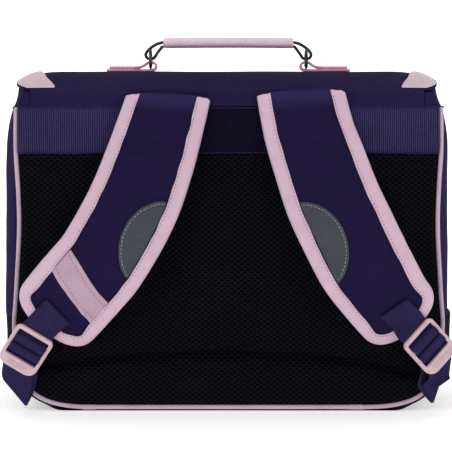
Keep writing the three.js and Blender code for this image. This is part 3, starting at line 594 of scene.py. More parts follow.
def clothFinish(
    name, face, shade, kind, order, weave, amount=0.5, depth=0.0002, lift=0.35, paintedStrapShade=0.0, fold=False
):
    # One value darkens the cloth between the straps with painted shade; fold paints a paler highlight on a
    # pad's rounded top end, where it catches the light
    finish, tree, shader = newFinish(name, 0.9, specular=0.02)
    place = placeOn(tree, "Object")
    cloth = useGroup(tree, patchyCloth, Vector=place, Color=face, Shade=shade, Amount=amount)
    lattice = useGroup(tree, dotLattice, Vector=placeOn(tree, kind, order), Softness=0.5, **weave)
    tone = mixColour(tree, lattice["Mask"], mixColour(tree, lift, cloth["Color"], shade), cloth["Color"])
    # Painted shade: the cloth between the straps is mixed towards its shade colour, as if the straps shaded it
    if paintedStrapShade:
        share = ramp(tree, calc(tree, "ABSOLUTE", splitPlace(tree, place)[0]), 0.03, 0.1, paintedStrapShade, 0.0)
        tone = mixColour(tree, share, tone, shade)
    # Painted highlight: the pad's rounded top end is mixed towards a paler navy, where it would catch the light
    if fold:
        down = splitPlace(tree, placeOn(tree, "UV"))[1]
        wornAndLit, begun = ramp(tree, down, 0.0, 0.016, 0.7, 0.0), ramp(tree, down, -0.0035, -0.001)
        share = calc(tree, "MULTIPLY", wornAndLit, begun)
        tone = mixColour(tree, share, tone, colour(54, 48, 92))
    tree.links.new(tone, shader.inputs["Base Color"])
    height = calc(tree, "ADD", lattice["Mask"], calc(tree, "MULTIPLY", cloth["Fibre"], 0.35))
    bumpFrom(tree, shader, height, depth)
    return finish


def weave(pitch, row, halfWidth, halfHeight):
    return dict(Pitch=pitch, Row=row, Half_Width=halfWidth, Half_Height=halfHeight)


def meshFinish():
    # Open knit over foam: light threads round dark holes
    finish, tree, shader = newFinish("spacerMesh", 0.9, specular=0.05)
    place = placeOn(tree, "Object")
    where = placeOn(tree, "Object", "xzy")
    black, shade = colour(16, 15, 22), colour(8, 7, 11)
    cloth = useGroup(tree, patchyCloth, Vector=place, Color=black, Shade=shade, Amount=0.6)
    knitHoles, knitThreads = weave(0.0058, 0.0024, 0.0017, 0.00098), weave(0.00145, 0.0008, 0.0006, 0.0003)
    holes = useGroup(tree, dotLattice, Vector=where, Softness=0.35, **knitHoles)
    threads = useGroup(tree, dotLattice, Vector=where, Softness=0.6, **knitThreads)
    knit = mixColour(tree, calc(tree, "MULTIPLY", threads["Mask"], 0.35), cloth["Color"], colour(26, 24, 32))
    tree.links.new(mixColour(tree, holes["Mask"], knit, colour(0, 0, 1)), shader.inputs["Base Color"])
    height = calc(tree, "SUBTRACT", calc(tree, "MULTIPLY", threads["Mask"], 0.15), holes["Mask"])
    bumpFrom(tree, shader, height, 0.0009)
    return finish


def leatherFinish(name, face, wornAndLit, rough=0.5, scale=900.0, depth=0.00012):
    finish, tree, shader = newFinish(name, rough, sheen=0.05, specular=0.4)
    grain = useGroup(tree, leatherGrain, Vector=placeOn(tree, "Object"), Cell_Scale=scale)
    tone = mixColour(tree, calc(tree, "MULTIPLY", grain["Wear"], 0.5), face, wornAndLit)
    dips = calc(tree, "MULTIPLY", calc(tree, "SUBTRACT", 1.0, grain["Height"]), 0.25)
    tree.links.new(mixColour(tree, dips, tone, wornAndLit), shader.inputs["Base Color"])
    bumpFrom(tree, shader, grain["Height"], depth)
    return finish


def plainFinish(name, face, second, rough, metallic=0.0):
    # Moulded plastic, thread or coated metal: slightly cloudy, with faint scuffs
    finish, tree, shader = newFinish(name, rough, metallic)
    where = placeOn(tree, "Object")
    cloud = ramp(tree, noise(tree, where, 120.0, 4.0), 0.35, 0.7)
    tree.links.new(mixColour(tree, cloud, face, second), shader.inputs["Base Color"])
    scuff = noise(tree, where, 1080.0, 3.0, 0.7)
    roughness = ramp(tree, scuff, 0.3, 0.8, rough * 0.85, min(1.0, rough * 1.25))
    tree.links.new(roughness, shader.inputs["Roughness"])
    bumpFrom(tree, shader, scuff, 0.00005)
    return finish


twill = weave(0.0009, 0.0006, 0.0004, 0.00028)
ribs = weave(0.0022, 0.0019, 0.00105, 0.00068)
webbed = weave(0.0024, 0.0012, 0.001, 0.0005)
# two colours on the screen, and then what each kind of finish takes
cloths = {
    "flapCloth": ((42, 34, 72), (32, 25, 58), "Object", "xzy", twill),
    # the strap cloth's last value paints a highlight on the pads' rounded top ends
    "strapCloth": ((37, 29, 65), (29, 22, 55), "UV", "xyz", twill, 0.5, 0.0002, 0.35, 0.0, True),
    # the band's last value darkens its middle between the straps with painted shade
    "bandRib": ((71, 64, 110), (12, 9, 26), "Object", "zxy", ribs, 0.25, 0.0005, 0.95, 0.9),
    "webbing": ((54, 48, 86), (28, 23, 52), "UV", "yxz", webbed, 0.35, 0.0003, 0.6),
    "baseCloth": ((24, 22, 30), (16, 14, 20), "Object", "yzx", twill),
}
leathers = {
    "bindingTape": ((210, 180, 197), (197, 165, 184), 0.66, 1300.0),
    "labelTape": ((187, 158, 174), (174, 145, 163), 0.66, 1300.0),
    "pipingTape": ((198, 173, 191), (170, 144, 164), 0.58),
    "pinkLeather": ((205, 182, 194), (196, 170, 182), 0.52),
    "tabLeather": ((222, 186, 198), (206, 166, 180), 0.5),
    "gripLeather": ((233, 203, 217), (219, 187, 201), 0.46, 900.0, 0.0001),
    "tabEdge": ((232, 166, 190), (212, 138, 164), 0.5),
}
plains = {
    "pinkPlastic": ((204, 176, 184), (194, 164, 174), 0.38),
    "blackPlastic": ((22, 21, 26), (30, 29, 35), 0.42),
    "darkMetal": ((78, 76, 80), (30, 28, 34), 0.14, 1.0),
    "ringCoat": ((27, 25, 42), (17, 16, 28), 0.5),
    "pinkThread": ((146, 108, 128), (128, 92, 112), 0.7),
    "navyThread": ((42, 35, 72), (35, 28, 62), 0.8),
    "greyThread": ((158, 162, 172), (130, 134, 146), 0.6),
}
finishes = {"spacerMesh": meshFinish()}
for make, table in ((clothFinish, cloths), (leatherFinish, leathers), (plainFinish, plains)):
    for name, (face, second, *how) in table.items():
        finishes[name] = make(name, colour(*face), colour(*second), *how)


def reflectiveFinish():
    finish, tree, shader = newFinish("reflective", 0.62, specular=0.4)
    where = placeOn(tree, "Object")
    beads = noise(tree, where, 2600.0, 1.0, 0.5)
    cloud = ramp(tree, noise(tree, where, 34.0, 4.0), 0.3, 0.72)
    face = mixColour(tree, cloud, colour(54, 57, 66), colour(46, 49, 57))
    glint = mixColour(tree, ramp(tree, beads, 0.56, 0.75, 0.0, 0.4), face, colour(106, 110, 120))
    tree.links.new(glint, shader.inputs["Base Color"])
    bumpFrom(tree, shader, beads, 0.00004)
    return finish


finishes["reflective"] = reflectiveFinish()
print("finishes ready")

# the back: seam line, padded mesh, ribbed band, piping

bag = {
    "halfWidth": 188.0, "halfDepth": 80.0, "fold": 288.0, "bandTop": 272.0, "bandBottom": 231.0,
    "baseTop": 83.0, "cornerRun": 67.0, "cornerRise": 75.0, "seamLift": 4.0, "gap": 0.3, "piping": 2.0,
}
backPlane = -bag["halfDepth"]
strapSide = {"left": -1, "right": 1}
seamHeights = [1.03, 0.944, 0.8125, 0.6875, 0.566, 0.413, 0.351, 0.29]
seamShares = [0.985, 1.0, 1.002, 0.992, 0.989, 1.002, 1.008, 1.016]


def seamHalf(height):
    return bag["halfWidth"] * np.interp(np.asarray(height) / bag["fold"], seamHeights[::-1], seamShares[::-1])


def cornerCurve():
    lift, rise, run = bag["seamLift"], bag["cornerRise"], bag["cornerRun"]
    reach = bag["halfWidth"] * seamShares[-1]
    p = np.array([
        (-reach, lift + rise), (-reach - 0.015 * run, lift + 0.2 * rise),
        (-reach + 0.24 * run, lift + 0.01 * rise), (-reach + run, lift),
    ])
    t = np.linspace(0, 1, 28)[:, None]
    return (1 - t) ** 3 * p[0] + 3 * (1 - t) ** 2 * t * p[1] + 3 * (1 - t) * t**2 * p[2] + t**3 * p[3]


def seamLine(top, step=4.0):
    # From a height on the left, down round the bottom and up on the right
    corner = cornerCurve()
    heights = [top] + [bag["fold"] * h for h in seamHeights if corner[0][1] + 2 < bag["fold"] * h < top - 2]
    side = np.stack([-seamHalf(heights), heights], 1)
    upper = curveThrough(np.vstack([side, corner[:1]]))[:-1]
    left = resample(np.vstack([upper, corner]), step)
    bottom = np.stack([np.linspace(left[-1][0], -left[-1][0], 80), np.full(80, bag["seamLift"])], 1)[1:-1]
    right = left[::-1] * (-1, 1)
    return np.vstack([left, bottom, right])


def distanceTo(line, x, z):
    # Distance of flat places to a line of straight spans
    best = np.full(x.shape, 1e9)
    for a, b in zip(line[:-1], line[1:]):
        d = b - a
        t = np.clip(((x - a[0]) * d[0] + (z - a[1]) * d[1]) / (d @ d), 0, 1)
        best = np.minimum(best, np.hypot(x - a[0] - t * d[0], z - a[1] - t * d[1]))
    return best


def backedPiece(name, x, y, z, back, finish, **how):
    # A sheet with a shaped outer face and a flat inner one
    outer = np.stack([x, y, z], -1)
    inner = outer.copy()
    inner[..., 1] = back
    return sheetPiece(name, outer, inner, np.stack([x, z], -1), finish, **how)


backPad = {
    "columns": 191, "rows": 121, "crowd": 0.35, "wall": 12.0, "tuck": 3.0, "tuckRun": 4, "pillow": 3.0,
    "pillowRun": 46, "channelDepth": 7.0, "channelHalf": 3.2, "ridge": 1.6, "ridgePlace": 11, "ridgeHalf": 8,
    "waves": 0.5, "puckers": 0.22, "pressure": 4.0, "cap": 5.0, "skip": 2,
    "channel": [(-182, 38), (-150, 43), (-105, 47.5), (-60, 50.5), (-10, 52),
                (40, 51), (80, 48.5), (120, 44), (152, 37), (180, 30)],
}


def buildBackPad():
    line = seamLine(bag["bandBottom"] + 2)
    inset = bag["piping"] + bag["gap"]
    bottom, top = bag["seamLift"] + inset, bag["bandBottom"] - bag["gap"]
    share = np.linspace(0, 1, backPad["rows"])
    heights = bottom + (top - bottom) * (backPad["crowd"] * share**2 + (1 - backPad["crowd"]) * share)
    z, x = np.meshgrid(heights, np.linspace(-1, 1, backPad["columns"]), indexing="ij")
    # the seam's own half width where it is moved inwards by the piping
    dense = resample(line[: len(line) // 2], 0.5)
    moved = dense + lineNormals(dense) * inset
    rank = np.argsort(moved[:, 1])
    x = x * np.interp(heights, moved[rank, 1], -moved[rank, 0])[:, None]
    far = np.maximum(distanceTo(line, x, z) - inset, 0)
    fromTop = top - z
    y = backPlane + backPad["tuck"] * (1 - smoothstep(far, 0, backPad["tuckRun"]))
    y = y - backPad["pillow"] * smoothstep(np.minimum(far, fromTop * 1.4), 2, backPad["pillowRun"])
    near = distanceTo(resample(curveThrough(backPad["channel"]), 3.0), x, z)
    y += backPad["channelDepth"] * np.exp(-((near / backPad["channelHalf"]) ** 2)) * smoothstep(far, 2, 14)
    ridge = np.exp(-(((near - backPad["ridgePlace"]) / backPad["ridgeHalf"]) ** 2))
    y -= backPad["ridge"] * ridge * smoothstep(far, 4, 30)
    calm = smoothstep(np.minimum(far, fromTop), 2, 30)
    y += (backPad["waves"] * ripple(x, z * 1.5, 90, 3) + backPad["puckers"] * ripple(x, z * 2, 34, 5)) * calm
    skip = backPad["skip"]
    sewn = ((near < 3.5) | (far < 3) | (fromTop < 5))[::skip, ::skip]
    coarse = np.stack([x, y, z], -1)[::skip, ::skip]
    move = inflate(coarse, sewn, backPad["pressure"], backPad["cap"])[..., 1]
    row, column = np.meshgrid(np.arange(len(y)) / skip, np.arange(y.shape[1]) / skip, indexing="ij")
    y = y + spreadOver(move, row, column) * smoothstep(far, 4, 34)
    piece = backedPiece("mesh_pad", x, y, z, backPlane + backPad["wall"], "spacerMesh", rims="")
    settle(piece, "mesh", "back_panel")


buildBackPad()
print("mesh back ready")

band = {
    "wall": 3.5, "columns": 150, "rows": 22, "raise": 0.5, "raiseRun": 8, "waves": 0.25, "selvage": 0.55,
    "selvageSteps": 420, "selvageWeave": 0.22,
}


def buildBand():
    heights = np.linspace(bag["bandTop"] - bag["gap"], bag["bandBottom"], band["rows"])
    inset = bag["piping"] + bag["gap"]
    front = backPlane - bag["gap"]
    z, share = np.meshgrid(heights, np.linspace(-1, 1, band["columns"]), indexing="ij")
    x = share * (seamHalf(z) - inset)
    edge = np.minimum(z - bag["bandBottom"], bag["bandTop"] - z)
    y = front - (band["raise"] * smoothstep(edge, 0, band["raiseRun"]) + band["waves"] * ripple(x, z, 60, 9))
    piece = backedPiece("ribbed_band", x, y, z, front + band["wall"], "bandRib", rims="tb", full=0.5)
    settle(piece, "navy_cloth", "back_band")
    # woven selvage along both long edges
    for name, height in (("top", bag["bandTop"] - 0.9), ("bottom", bag["bandBottom"] + 0.4)):
        reach = seamHalf(height) - inset - 0.4
        along = np.linspace(-reach, reach, band["selvageSteps"])
        height = height + band["selvageWeave"] * np.sin(along * 2.9)
        line = np.stack([along, along * 0 + front - 0.35, height], 1)
        settle(tubePiece("band_selvage_" + name, line, band["selvage"], 6, "webbing"), "navy_cloth")


buildBand()

piping = {"sides": 14, "wobble": 0.12, "lapHalf": 7, "laps": {"left": -124.5, "right": 114.6},
          "lapSwell": [0.02, 0.22, 0.26, 0.26, 0.26, 0.26, 0.26, 0.22, 0.02]}


def buildPiping():
    flat = seamLine(bag["bandTop"] - bag["gap"], 2.5)
    y = backPlane + 2 * bag["piping"]
    line = np.stack([flat[:, 0], y + piping["wobble"] * ripple(flat[:, 0], flat[:, 1], 40, 21), flat[:, 1]], 1)
    settle(tubePiece("piping_cord", line, bag["piping"], piping["sides"], "pipingTape"), "piping", "piping")
    # the tape is joined twice along the bottom: one end laps over the other
    for name, place in piping["laps"].items():
        steps = np.linspace(-piping["lapHalf"], piping["lapHalf"], len(piping["lapSwell"]))
        lap = [(place + k, y, bag["seamLift"]) for k in steps]
        radii = bag["piping"] + np.array(piping["lapSwell"])
        settle(tubePiece("piping_lap_" + name, lap, radii, piping["sides"], "pipingTape"), "piping")


buildPiping()
print("band and piping ready")

# gussets, flap and front, from their lofted shapes

slack = {
    # the filled bag's sides stand fuller or slacker than the stations they were lofted from, by height
    "height": [70, 79, 102, 124, 146, 168, 191, 213, 235, 257, 274, 290],
    "left": [0.0, 0.0, 0.1, 0.4, 1.6, 1.9, 1.1, 0.5, -0.8, -1.3, -2.1, 0.0],
    "right": [-2.6, -2.8, -2.6, -2.0, -0.9, -0.8, -1.3, -2.7, -3.5, -3.6, -3.4, -2.2],
    # the flap's right corner, its dome, and the base's corners with the flat edge between them
    "corner": 2.4, "cornerRun": (140, 186), "cornerRise": (255, 280), "dome": 0.8, "domeRise": (292, 300),
    "base": 2.6, "baseFrom": 110, "pressRise": (3, 9), "pressRun": (148, 166), "pressDepth": (52, 70),
}
# size of the soft folds, their height and their seed
folds = {"flap": (110, 0.35, 33), "base": (70, 0.35, 31), "side": (80, 0.4, 35)}
patch = {"left": -6.5, "right": 5.0, "reach": 190, "span": 36, "depth": (-82, -52)}


def clothFolds(kind, side=None):
    size, height, seed = folds[kind]

    def shape(points, normals):
        x, y, z = points.T
        moved = points + normals * (height * ripple(x + 0.6 * y, z + 0.3 * y, size, seed))[:, None]
        if side:
            outward = smoothstep(np.abs(normals[:, 0]), 0.35, 0.9) * np.interp(z, slack["height"], slack[side])
            moved[:, 0] += strapSide[side] * outward
        return moved

    return shape


def slackCorner(points, normals):
    # the flap's right corner lies a little further in than its left one, and its dome is full
    x, _, z = points.T
    moved = clothFolds("flap")(points, normals)
    moved[:, 0] -= slack["corner"] * smoothstep(x, *slack["cornerRun"]) * smoothstep(z, *slack["cornerRise"])
    moved[:, 2] += slack["dome"] * smoothstep(z, *slack["domeRise"])
    return moved


def baseFolds(points, normals):
    # a few soft folds, fuller corners, and a flat edge under the piping
    folded = clothFolds("base")(points, normals)
    x, y, z = folded.T
    across, down = np.maximum(np.abs(x) - slack["baseFrom"], 0), np.maximum(bag["baseTop"] - z, 0)
    push = slack["base"] * smoothstep(across, 0, 40) * smoothstep(down, 10, 50)
    push = push / np.maximum(np.hypot(across, down), 1)
    folded[:, 0] = x + np.sign(x) * across * push
    folded[:, 2] = z = np.maximum(z - down * push, np.minimum(z, 0.3))
    press = smoothstep(-y, *slack["pressDepth"]) * (1 - smoothstep(z, *slack["pressRise"]))
    press = press * (1 - smoothstep(np.abs(x), *slack["pressRun"]))
    folded[:, 2] = z - press * np.maximum(z - 0.2, 0) * 0.9
    return folded


def narrowPatch(points, normals):
    # the patch's inner edge runs outwards from the fold to the top
    x, y, z = points.T
    inner = np.clip((patch["reach"] - np.abs(x)) / patch["span"], 0, 1)
    amount = np.where(x < 0, patch["left"], patch["right"]) * smoothstep(y, *patch["depth"]) * inner
    pull = slack["corner"] * smoothstep(x, *slack["cornerRun"])
    return np.stack([x + amount - pull, y, z], 1)


def soften(node, name, finish, slot, levels=2, shape=None):
    return settle(softCopy(node, name, finish, levels, shape), slot, node)


soften("base", "base_gusset", "baseCloth", "black_cloth", shape=baseFolds)
soften("front_panel", "front_wall", "flapCloth", "navy_cloth")
flapPiece = soften("flap", "flap_sheet", "flapCloth", "navy_cloth", 3, slackCorner)
for name in strapSide:
    soften("side_" + name, "side_gusset_" + name, "flapCloth", "navy_cloth", shape=clothFolds("side", name))
    soften("corner_patch_" + name, "flap_corner_" + name, "pinkLeather", "leather", 3, narrowPatch)
print("gussets and flap ready")

# shoulder straps

strap = {
    "outer": {"left": 1.9, "right": 1.2}, "topTilt": {"left": (-3.0, -1.8), "right": (0.4, 2.2)},
    "outerFade": (150, 200), "tiltFade": (0, 36), "tuckFade": (2, 26), "archFade": (0, 14),
    "top": 282.5, "width": 80.0, "thick": 12.0, "edge": 6.0, "binding": 12.0, "tape": 1.0, "bend": 112.0,
    "standBend": 26.0, "standTop": 0.6, "slope": 0.36, "endRound": 22.0, "endPower": 2.4, "levelRun": 70.0,
    "patch": 25.0, "padding": 8.0, "topTuck": 1.2, "topArch": 2.0, "pressure": 5.0, "cap": 3.2, "spread": 0.02,
}
drape = {
    "height": [1.0, 0.89, 0.79, 0.683, 0.588, 0.493, 0.433, 0.355, 0.275],
    "left": [-0.288, -0.33, -0.375, -0.433, -0.503, -0.59, -0.662, -0.76, -0.864],
    "right": [0.335, 0.372, 0.42, 0.475, 0.54, 0.612, 0.67, 0.753, 0.854],
    "leftWidth": [0.93, 0.96, 0.98, 1.0, 1.0, 0.99, 0.98, 0.96, 0.92],
    "rightWidth": [0.93, 0.96, 0.98, 1.0, 1.0, 0.99, 0.96, 0.9, 0.86],
}
marginEnd = strap["binding"] + bag["gap"]


def standoff(z):
    # Distance of the strap's back face from the bag: straight below the bend, a soft arch above it
    z = np.asarray(z, float)
    span = strap["top"] - strap["bend"]
    t = (z - strap["bend"]) / span
    fromBend = 2 * t**3 - 3 * t**2 + 1
    slope = t**3 - 2 * t**2 + t
    arch = strap["standBend"] * fromBend + strap["slope"] * span * slope + strap["standTop"] * (1 - fromBend)
    return np.where(z < strap["bend"], strap["standBend"] + strap["slope"] * (z - strap["bend"]), arch)


def middleY(z):
    return backPlane - standoff(z) - strap["thick"] / 2


def strapLean(z):
    return middleY(z + 0.5) - middleY(z - 0.5)


def onStrap(flat, out):
    # Flat places (x and height) lifted on to the strap's middle surface, and out from it
    flat = np.asarray(flat, float)
    x, z = flat[..., 0], flat[..., 1]
    normal = unit(np.stack([np.zeros_like(z), -np.ones_like(z), strapLean(z)], -1))
    return np.stack([x, middleY(z), z], -1) + normal * np.asarray(out)[..., None]


class StrapLay:
    # Places on one strap, by the distance from its top and across its middle line
    def __init__(self, name):
        self.name = name
        places = np.array([drape[name], drape["height"]]).T * (bag["halfWidth"], strap["top"])
        self.line = resample(curveThrough(places, 60), 0.5)
        self.runs = runsOf(self.line)
        self.length = self.runs[-1]
        self.tangents = unit(np.gradient(self.line, axis=0))
        self.swell = None

    def middle(self, run):
        run = np.clip(run, 0, self.length)
        return np.stack([np.interp(run, self.runs, self.line[:, k]) for k in (0, 1)], -1)

    def half(self, run):
        late = np.clip((np.asarray(run) - self.length + strap["endRound"]) / strap["endRound"], 0, 1)
        z = self.middle(run)[..., 1]
        share = np.interp(z / strap["top"], drape["height"][::-1], drape[self.name + "Width"][::-1])
        return strap["width"] * share / 2 * (1 - late ** strap["endPower"]) ** (1 / strap["endPower"])

    def room(self, run, across):
        # How far inside the binding a place is
        return self.half(run) - np.abs(across) - marginEnd

    def at(self, run, across):
        run, across = np.asarray(run, float), np.asarray(across, float)
        side, (level, tilt) = strapSide[self.name], strap["topTilt"][self.name]
        share = np.clip(across / np.maximum(self.half(run), 1), -1, 1)
        push = np.clip(side * share, 0, 1) * (1 - smoothstep(run, *strap["outerFade"]))
        across = across + strap["outer"][self.name] * push
        slip = (level + tilt * share) * (1 - smoothstep(run, *strap["tiltFade"]))
        place = np.clip(run, 0, self.length)
        along = np.stack([np.interp(place, self.runs, self.tangents[:, k]) for k in (0, 1)], -1)
        bend = np.clip(run / strap["levelRun"], 0, 1)
        sideways = unit(np.stack([-along[..., 1], along[..., 0] * bend], -1))
        flat = self.middle(run) + along * np.minimum(run, 0)[..., None] + sideways * across[..., None]
        flat[..., 1] += slip
        return flat

    def padHalf(self, run, across):
        fromEnd = self.length - run - strap["patch"] - 3 * bag["gap"]
        free = np.minimum(np.minimum(self.room(run, across), fromEnd), run)
        rise = smoothstep(free, -1.5, strap["padding"] + 2)
        return (strap["edge"] + (strap["thick"] - strap["edge"]) * rise) / 2

    def sink(self, run):
        # The sewn top end is pressed against the bag
        return strap["topTuck"] * (1 - smoothstep(run, *strap["tuckFade"]))

    def locate(self, flat):
        # Run and distance across of flat places
        flat = np.asarray(flat, float)
        far = np.linalg.norm(flat[:, None, :] - self.line[None], axis=2)
        k = far.argmin(1)
        normal = self.tangents[k][:, ::-1] * (-1, 1)
        return self.runs[k], ((flat - self.line[k]) * normal).sum(1)

    def surface(self, run, across, lift=0.0):
        out = self.padHalf(run, across) + self.crown(run, across) - self.sink(run) + lift
        return onStrap(self.at(run, across), out)

    def crown(self, run, across):
        if self.swell is None:
            calm = smoothstep(self.room(run, across), 0, 14) * smoothstep(run, 0, 25)
            calm = calm * smoothstep(self.length - run, 26, 60)
            return calm * (0.5 + 0.35 * ripple(run, across * 1.4, 46, len(self.name)))
        rows, columns = self.swell.shape
        share = across / np.maximum(self.half(run), 1) * 0.5 + 0.5
        return spreadOver(self.swell, np.asarray(run) / self.length * (rows - 1), share * (columns - 1))

    def blowUp(self):
        # The cloth between the bindings, blown up where no seam or patch holds it
        run, s = np.meshgrid(np.linspace(0, self.length - 0.2, 96), np.linspace(-1, 1, 21), indexing="ij")
        across = s * self.half(run)
        grid = self.surface(run, across)
        sewn = (self.room(run, across) < 1) | (run < 4) | (self.length - run < 30)
        move = inflate(grid, sewn, strap["pressure"], strap["cap"], strap["spread"])
        flat = self.at(run, across)
        out = unit(onStrap(flat, 1.0 + 0 * run) - onStrap(flat, 0 * run))
        self.swell = (move * out).sum(-1)


lays = {name: StrapLay(name) for name in strapSide}


def stripRuns(lay, bodySteps, endSteps):
    # Distances down a strap, closer together round its end
    end = lay.length - strap["endRound"]
    tail = end + strap["endRound"] * np.sin(np.linspace(0, 1, endSteps)[1:-1] * math.pi / 2)
    return np.concatenate([np.linspace(0, end, bodySteps), tail, [lay.length - 0.05]])


def buildPad(lay):
    run, s = np.meshgrid(stripRuns(lay, 96, 16), np.linspace(-1, 1, 45), indexing="ij")
    across = s * lay.half(run)
    run = run - strap["topArch"] * (1 - s**2) * (1 - smoothstep(run, *strap["archFade"]))
    outer = lay.surface(run, across)
    inner = onStrap(lay.at(run, across), -lay.padHalf(run, across) - 0.6 * lay.sink(run))
    spread = np.stack([across, run], -1)
    piece = sheetPiece("strap_" + lay.name, outer, inner, spread, "strapCloth", rims="t", full=0.9)
    settle(piece, "navy_cloth", "strap_pad_" + lay.name)


tape = {
    # profile of the folded tape: depth from the strap's edge inwards, and out from its middle
    "profile": [(11.3, 3.5), (11.45, 4.0), (11.2, 4.4), (10.9, 4.5), (10.3, 4.44), (9.8, 4.3), (9.1, 4.46),
                (5.0, 4.66), (2.3, 4.6), (0.7, 4.3), (-0.3, 3.5), (-0.8, 2.0), (-0.9, 0.0)],
    "wall": 0.95, "above": 1.5, "ruffle": 0.35, "ruffled": 4, "bulge": 0.1, "squeeze": 0.2, "stitchRow": 5,
    # the cut end at the strap's top: lower at the strap's edge, higher at the tape's inner side, a little wavy
    "drop": 1.9, "dropFrom": 3.6, "dropRun": 4.5, "peak": 0.9, "peakPlace": 10.5, "peakHalf": 1.6, "wavy": 0.3,
}


def buildBinding(lay):
    end = lay.length - strap["endRound"]
    runs = stripRuns(lay, 110, 22)
    outline = np.concatenate([lay.at(runs, lay.half(runs)), lay.at(runs, -lay.half(runs))[::-1]])
    allRuns = np.concatenate([runs, runs[::-1]])
    sign = np.repeat([1.0, -1.0], len(runs))
    inward = -lineNormals(outline)
    profile = np.array(tape["profile"] + [(d, -o) for d, o in tape["profile"][-2::-1]])
    lengths = runsOf(outline)
    turning = smoothstep(allRuns, end - 6, end + 2)
    ripples = ripple(lengths, lengths * 0, 17, 40 + len(lay.name))
    rows, spread = [], []
    for i in range(len(outline)):
        deep, out = profile[:, 0].copy(), profile[:, 1].copy()
        deep[: tape["ruffled"]] += tape["ruffle"] * ripples[i]
        narrow = 1 - tape["squeeze"] * smoothstep(allRuns[i], end - 12, end + 10)
        deep = np.where(deep > 0, deep * narrow, deep)
        out += np.sign(out) * tape["bulge"] * ripples[(i * 3) % len(outline)]
        drop = tape["drop"] * np.clip((tape["dropFrom"] - deep) / tape["dropRun"], 0, 1) ** 2
        peak = tape["peak"] * np.exp(-(((deep - tape["peakPlace"]) / tape["peakHalf"]) ** 2))
        cut = drop - peak - tape["above"]
        cut = (cut + tape["wavy"] * np.sin(deep * 1.1 + sign[i])) * (1 - smoothstep(allRuns[i], 0, 12))
        level = lay.at(allRuns[i] + cut, sign[i] * (lay.half(allRuns[i]) - deep))
        flat = level * (1 - turning[i]) + (outline[i] + inward[i] * deep[:, None]) * turning[i]
        rows.append(onStrap(flat, out - lay.sink(allRuns[i])))
        spread.append(np.stack([deep + np.where(out < 0, 40, 0), np.full(len(deep), lengths[i])], 1))
    outer = np.array(rows)
    normals = gridNormals(outer)
    middle = onStrap(outline + inward * 3, 0 * lengths)
    normals = normals * np.sign(((outer - middle[:, None, :]) * normals).sum(-1).mean())
    inner = outer - normals * tape["wall"]
    spread = np.array(spread)
    piece = sheetPiece("binding_" + lay.name, outer, inner, spread, "bindingTape", rims="tb", full=0.5)
    settle(piece, "piping", "strap_binding_" + lay.name)
    # one row of stitches near the tape's inner edge, on the outer face
    bundle = Bundle()
    ups = normals[2:-2, tape["stitchRow"]]
    sewAlong(bundle, outer[2:-2, tape["stitchRow"]] + ups * 0.12, ups, "binding")
    bundle.settle("binding_stitches_" + lay.name, "pinkThread", "piping")


def sewOnStrap(name, lay, flatLine, lift, finish, slot, kind):
    run, across = lay.locate(flatLine)
    keep = lay.room(run, across) > -1
    run, across = run[keep], across[keep]
    points = lay.surface(run, across, lift)
    bundle = Bundle()
    sewAlong(bundle, points, unit(lay.surface(run, across, lift + 1) - points), kind)
    bundle.settle(name, finish, slot)


reflector = {
    "radius": 42.5, "left": (-52.3, 146.5), "right": (61.0, 145.9), "wall": 0.8, "lift": 0.66, "stitchIn": 2.4,
}


def buildReflector(lay):
    centre = np.array(reflector[lay.name])
    radius, middle = reflector["radius"], lay.locate(centre[None])[0][0]
    runs, spans = [], []
    for run in np.linspace(middle - radius, middle + radius, 90):
        across = np.linspace(marginEnd - lay.half(run), lay.half(run) - marginEnd, 400)
        inside = np.linalg.norm(lay.at(np.full(400, run), across) - centre, axis=1) < radius
        if inside.sum() > 5:
            runs.append(run)
            spans.append((across[inside].min(), across[inside].max()))
    spans = np.array(spans)
    share = np.linspace(0, 1, 26)
    across = spans[:, :1] * (1 - share) + spans[:, 1:] * share
    run = np.repeat(np.array(runs)[:, None], 26, 1)
    outer = lay.surface(run, across, reflector["lift"] + reflector["wall"])
    inner = lay.surface(run, across, reflector["lift"] - 0.4)
    spread = np.stack([across, run], -1)
    piece = sheetPiece("reflector_" + lay.name + "_patch", outer, inner, spread, "reflective", rims="")
    settle(piece, "reflective", "reflector_" + lay.name)
    turn = np.linspace(0, 2 * math.pi, 240)
    ring = centre + (radius - reflector["stitchIn"]) * np.stack([np.cos(turn), np.sin(turn)], 1)
    run, across = lay.locate(ring)
    inside = lay.room(run, across) > 0.5
    first = int(np.argmax(~inside))
    ring, inside = np.roll(ring, -first, axis=0), np.roll(inside, -first)
    lift = reflector["lift"] + reflector["wall"] + 0.15
    name = "reflector_stitches_" + lay.name
    sewOnStrap(name, lay, ring[inside], lift, "greyThread", "reflective", "reflector")


label = {"share": 0.78, "width": 24.0, "skew": 0.28, "wall": 0.8, "lift": 0.66, "stitchIn": 4.2}


def buildLabel(lay):
    middle = label["share"] * lay.length
    limit = lay.half(middle) - marginEnd + 0.6
    steps = np.linspace(-label["width"] / 2, label["width"] / 2, 16)
    across = np.linspace(-limit, limit, 40)
    step, a = np.meshgrid(steps, across, indexing="ij")
    run = middle + step + label["skew"] * a
    outer = lay.surface(run, a, label["lift"] + label["wall"])
    inner = lay.surface(run, a, label["lift"] - 0.3)
    spread = np.stack([a, run], -1)
    piece = sheetPiece("strap_label_band", outer, inner, spread, "labelTape", rims="tb", full=0.6)
    settle(piece, "piping", "strap_band_left")
    for k, side in enumerate((-1, 1)):
        offset = side * (label["width"] / 2 - label["stitchIn"])
        run = middle + offset + label["skew"] * across
        lift = label["lift"] + label["wall"] + 0.12
        sewOnStrap("label_stitches_%d" % k, lay, lay.at(run, across), lift, "pinkThread", "piping", "label")


for lay in lays.values():
    lay.blowUp()
    buildPad(lay)
    buildBinding(lay)
    buildReflector(lay)
buildLabel(lays["left"])
print("straps ready")

# webbing and ladder buckles

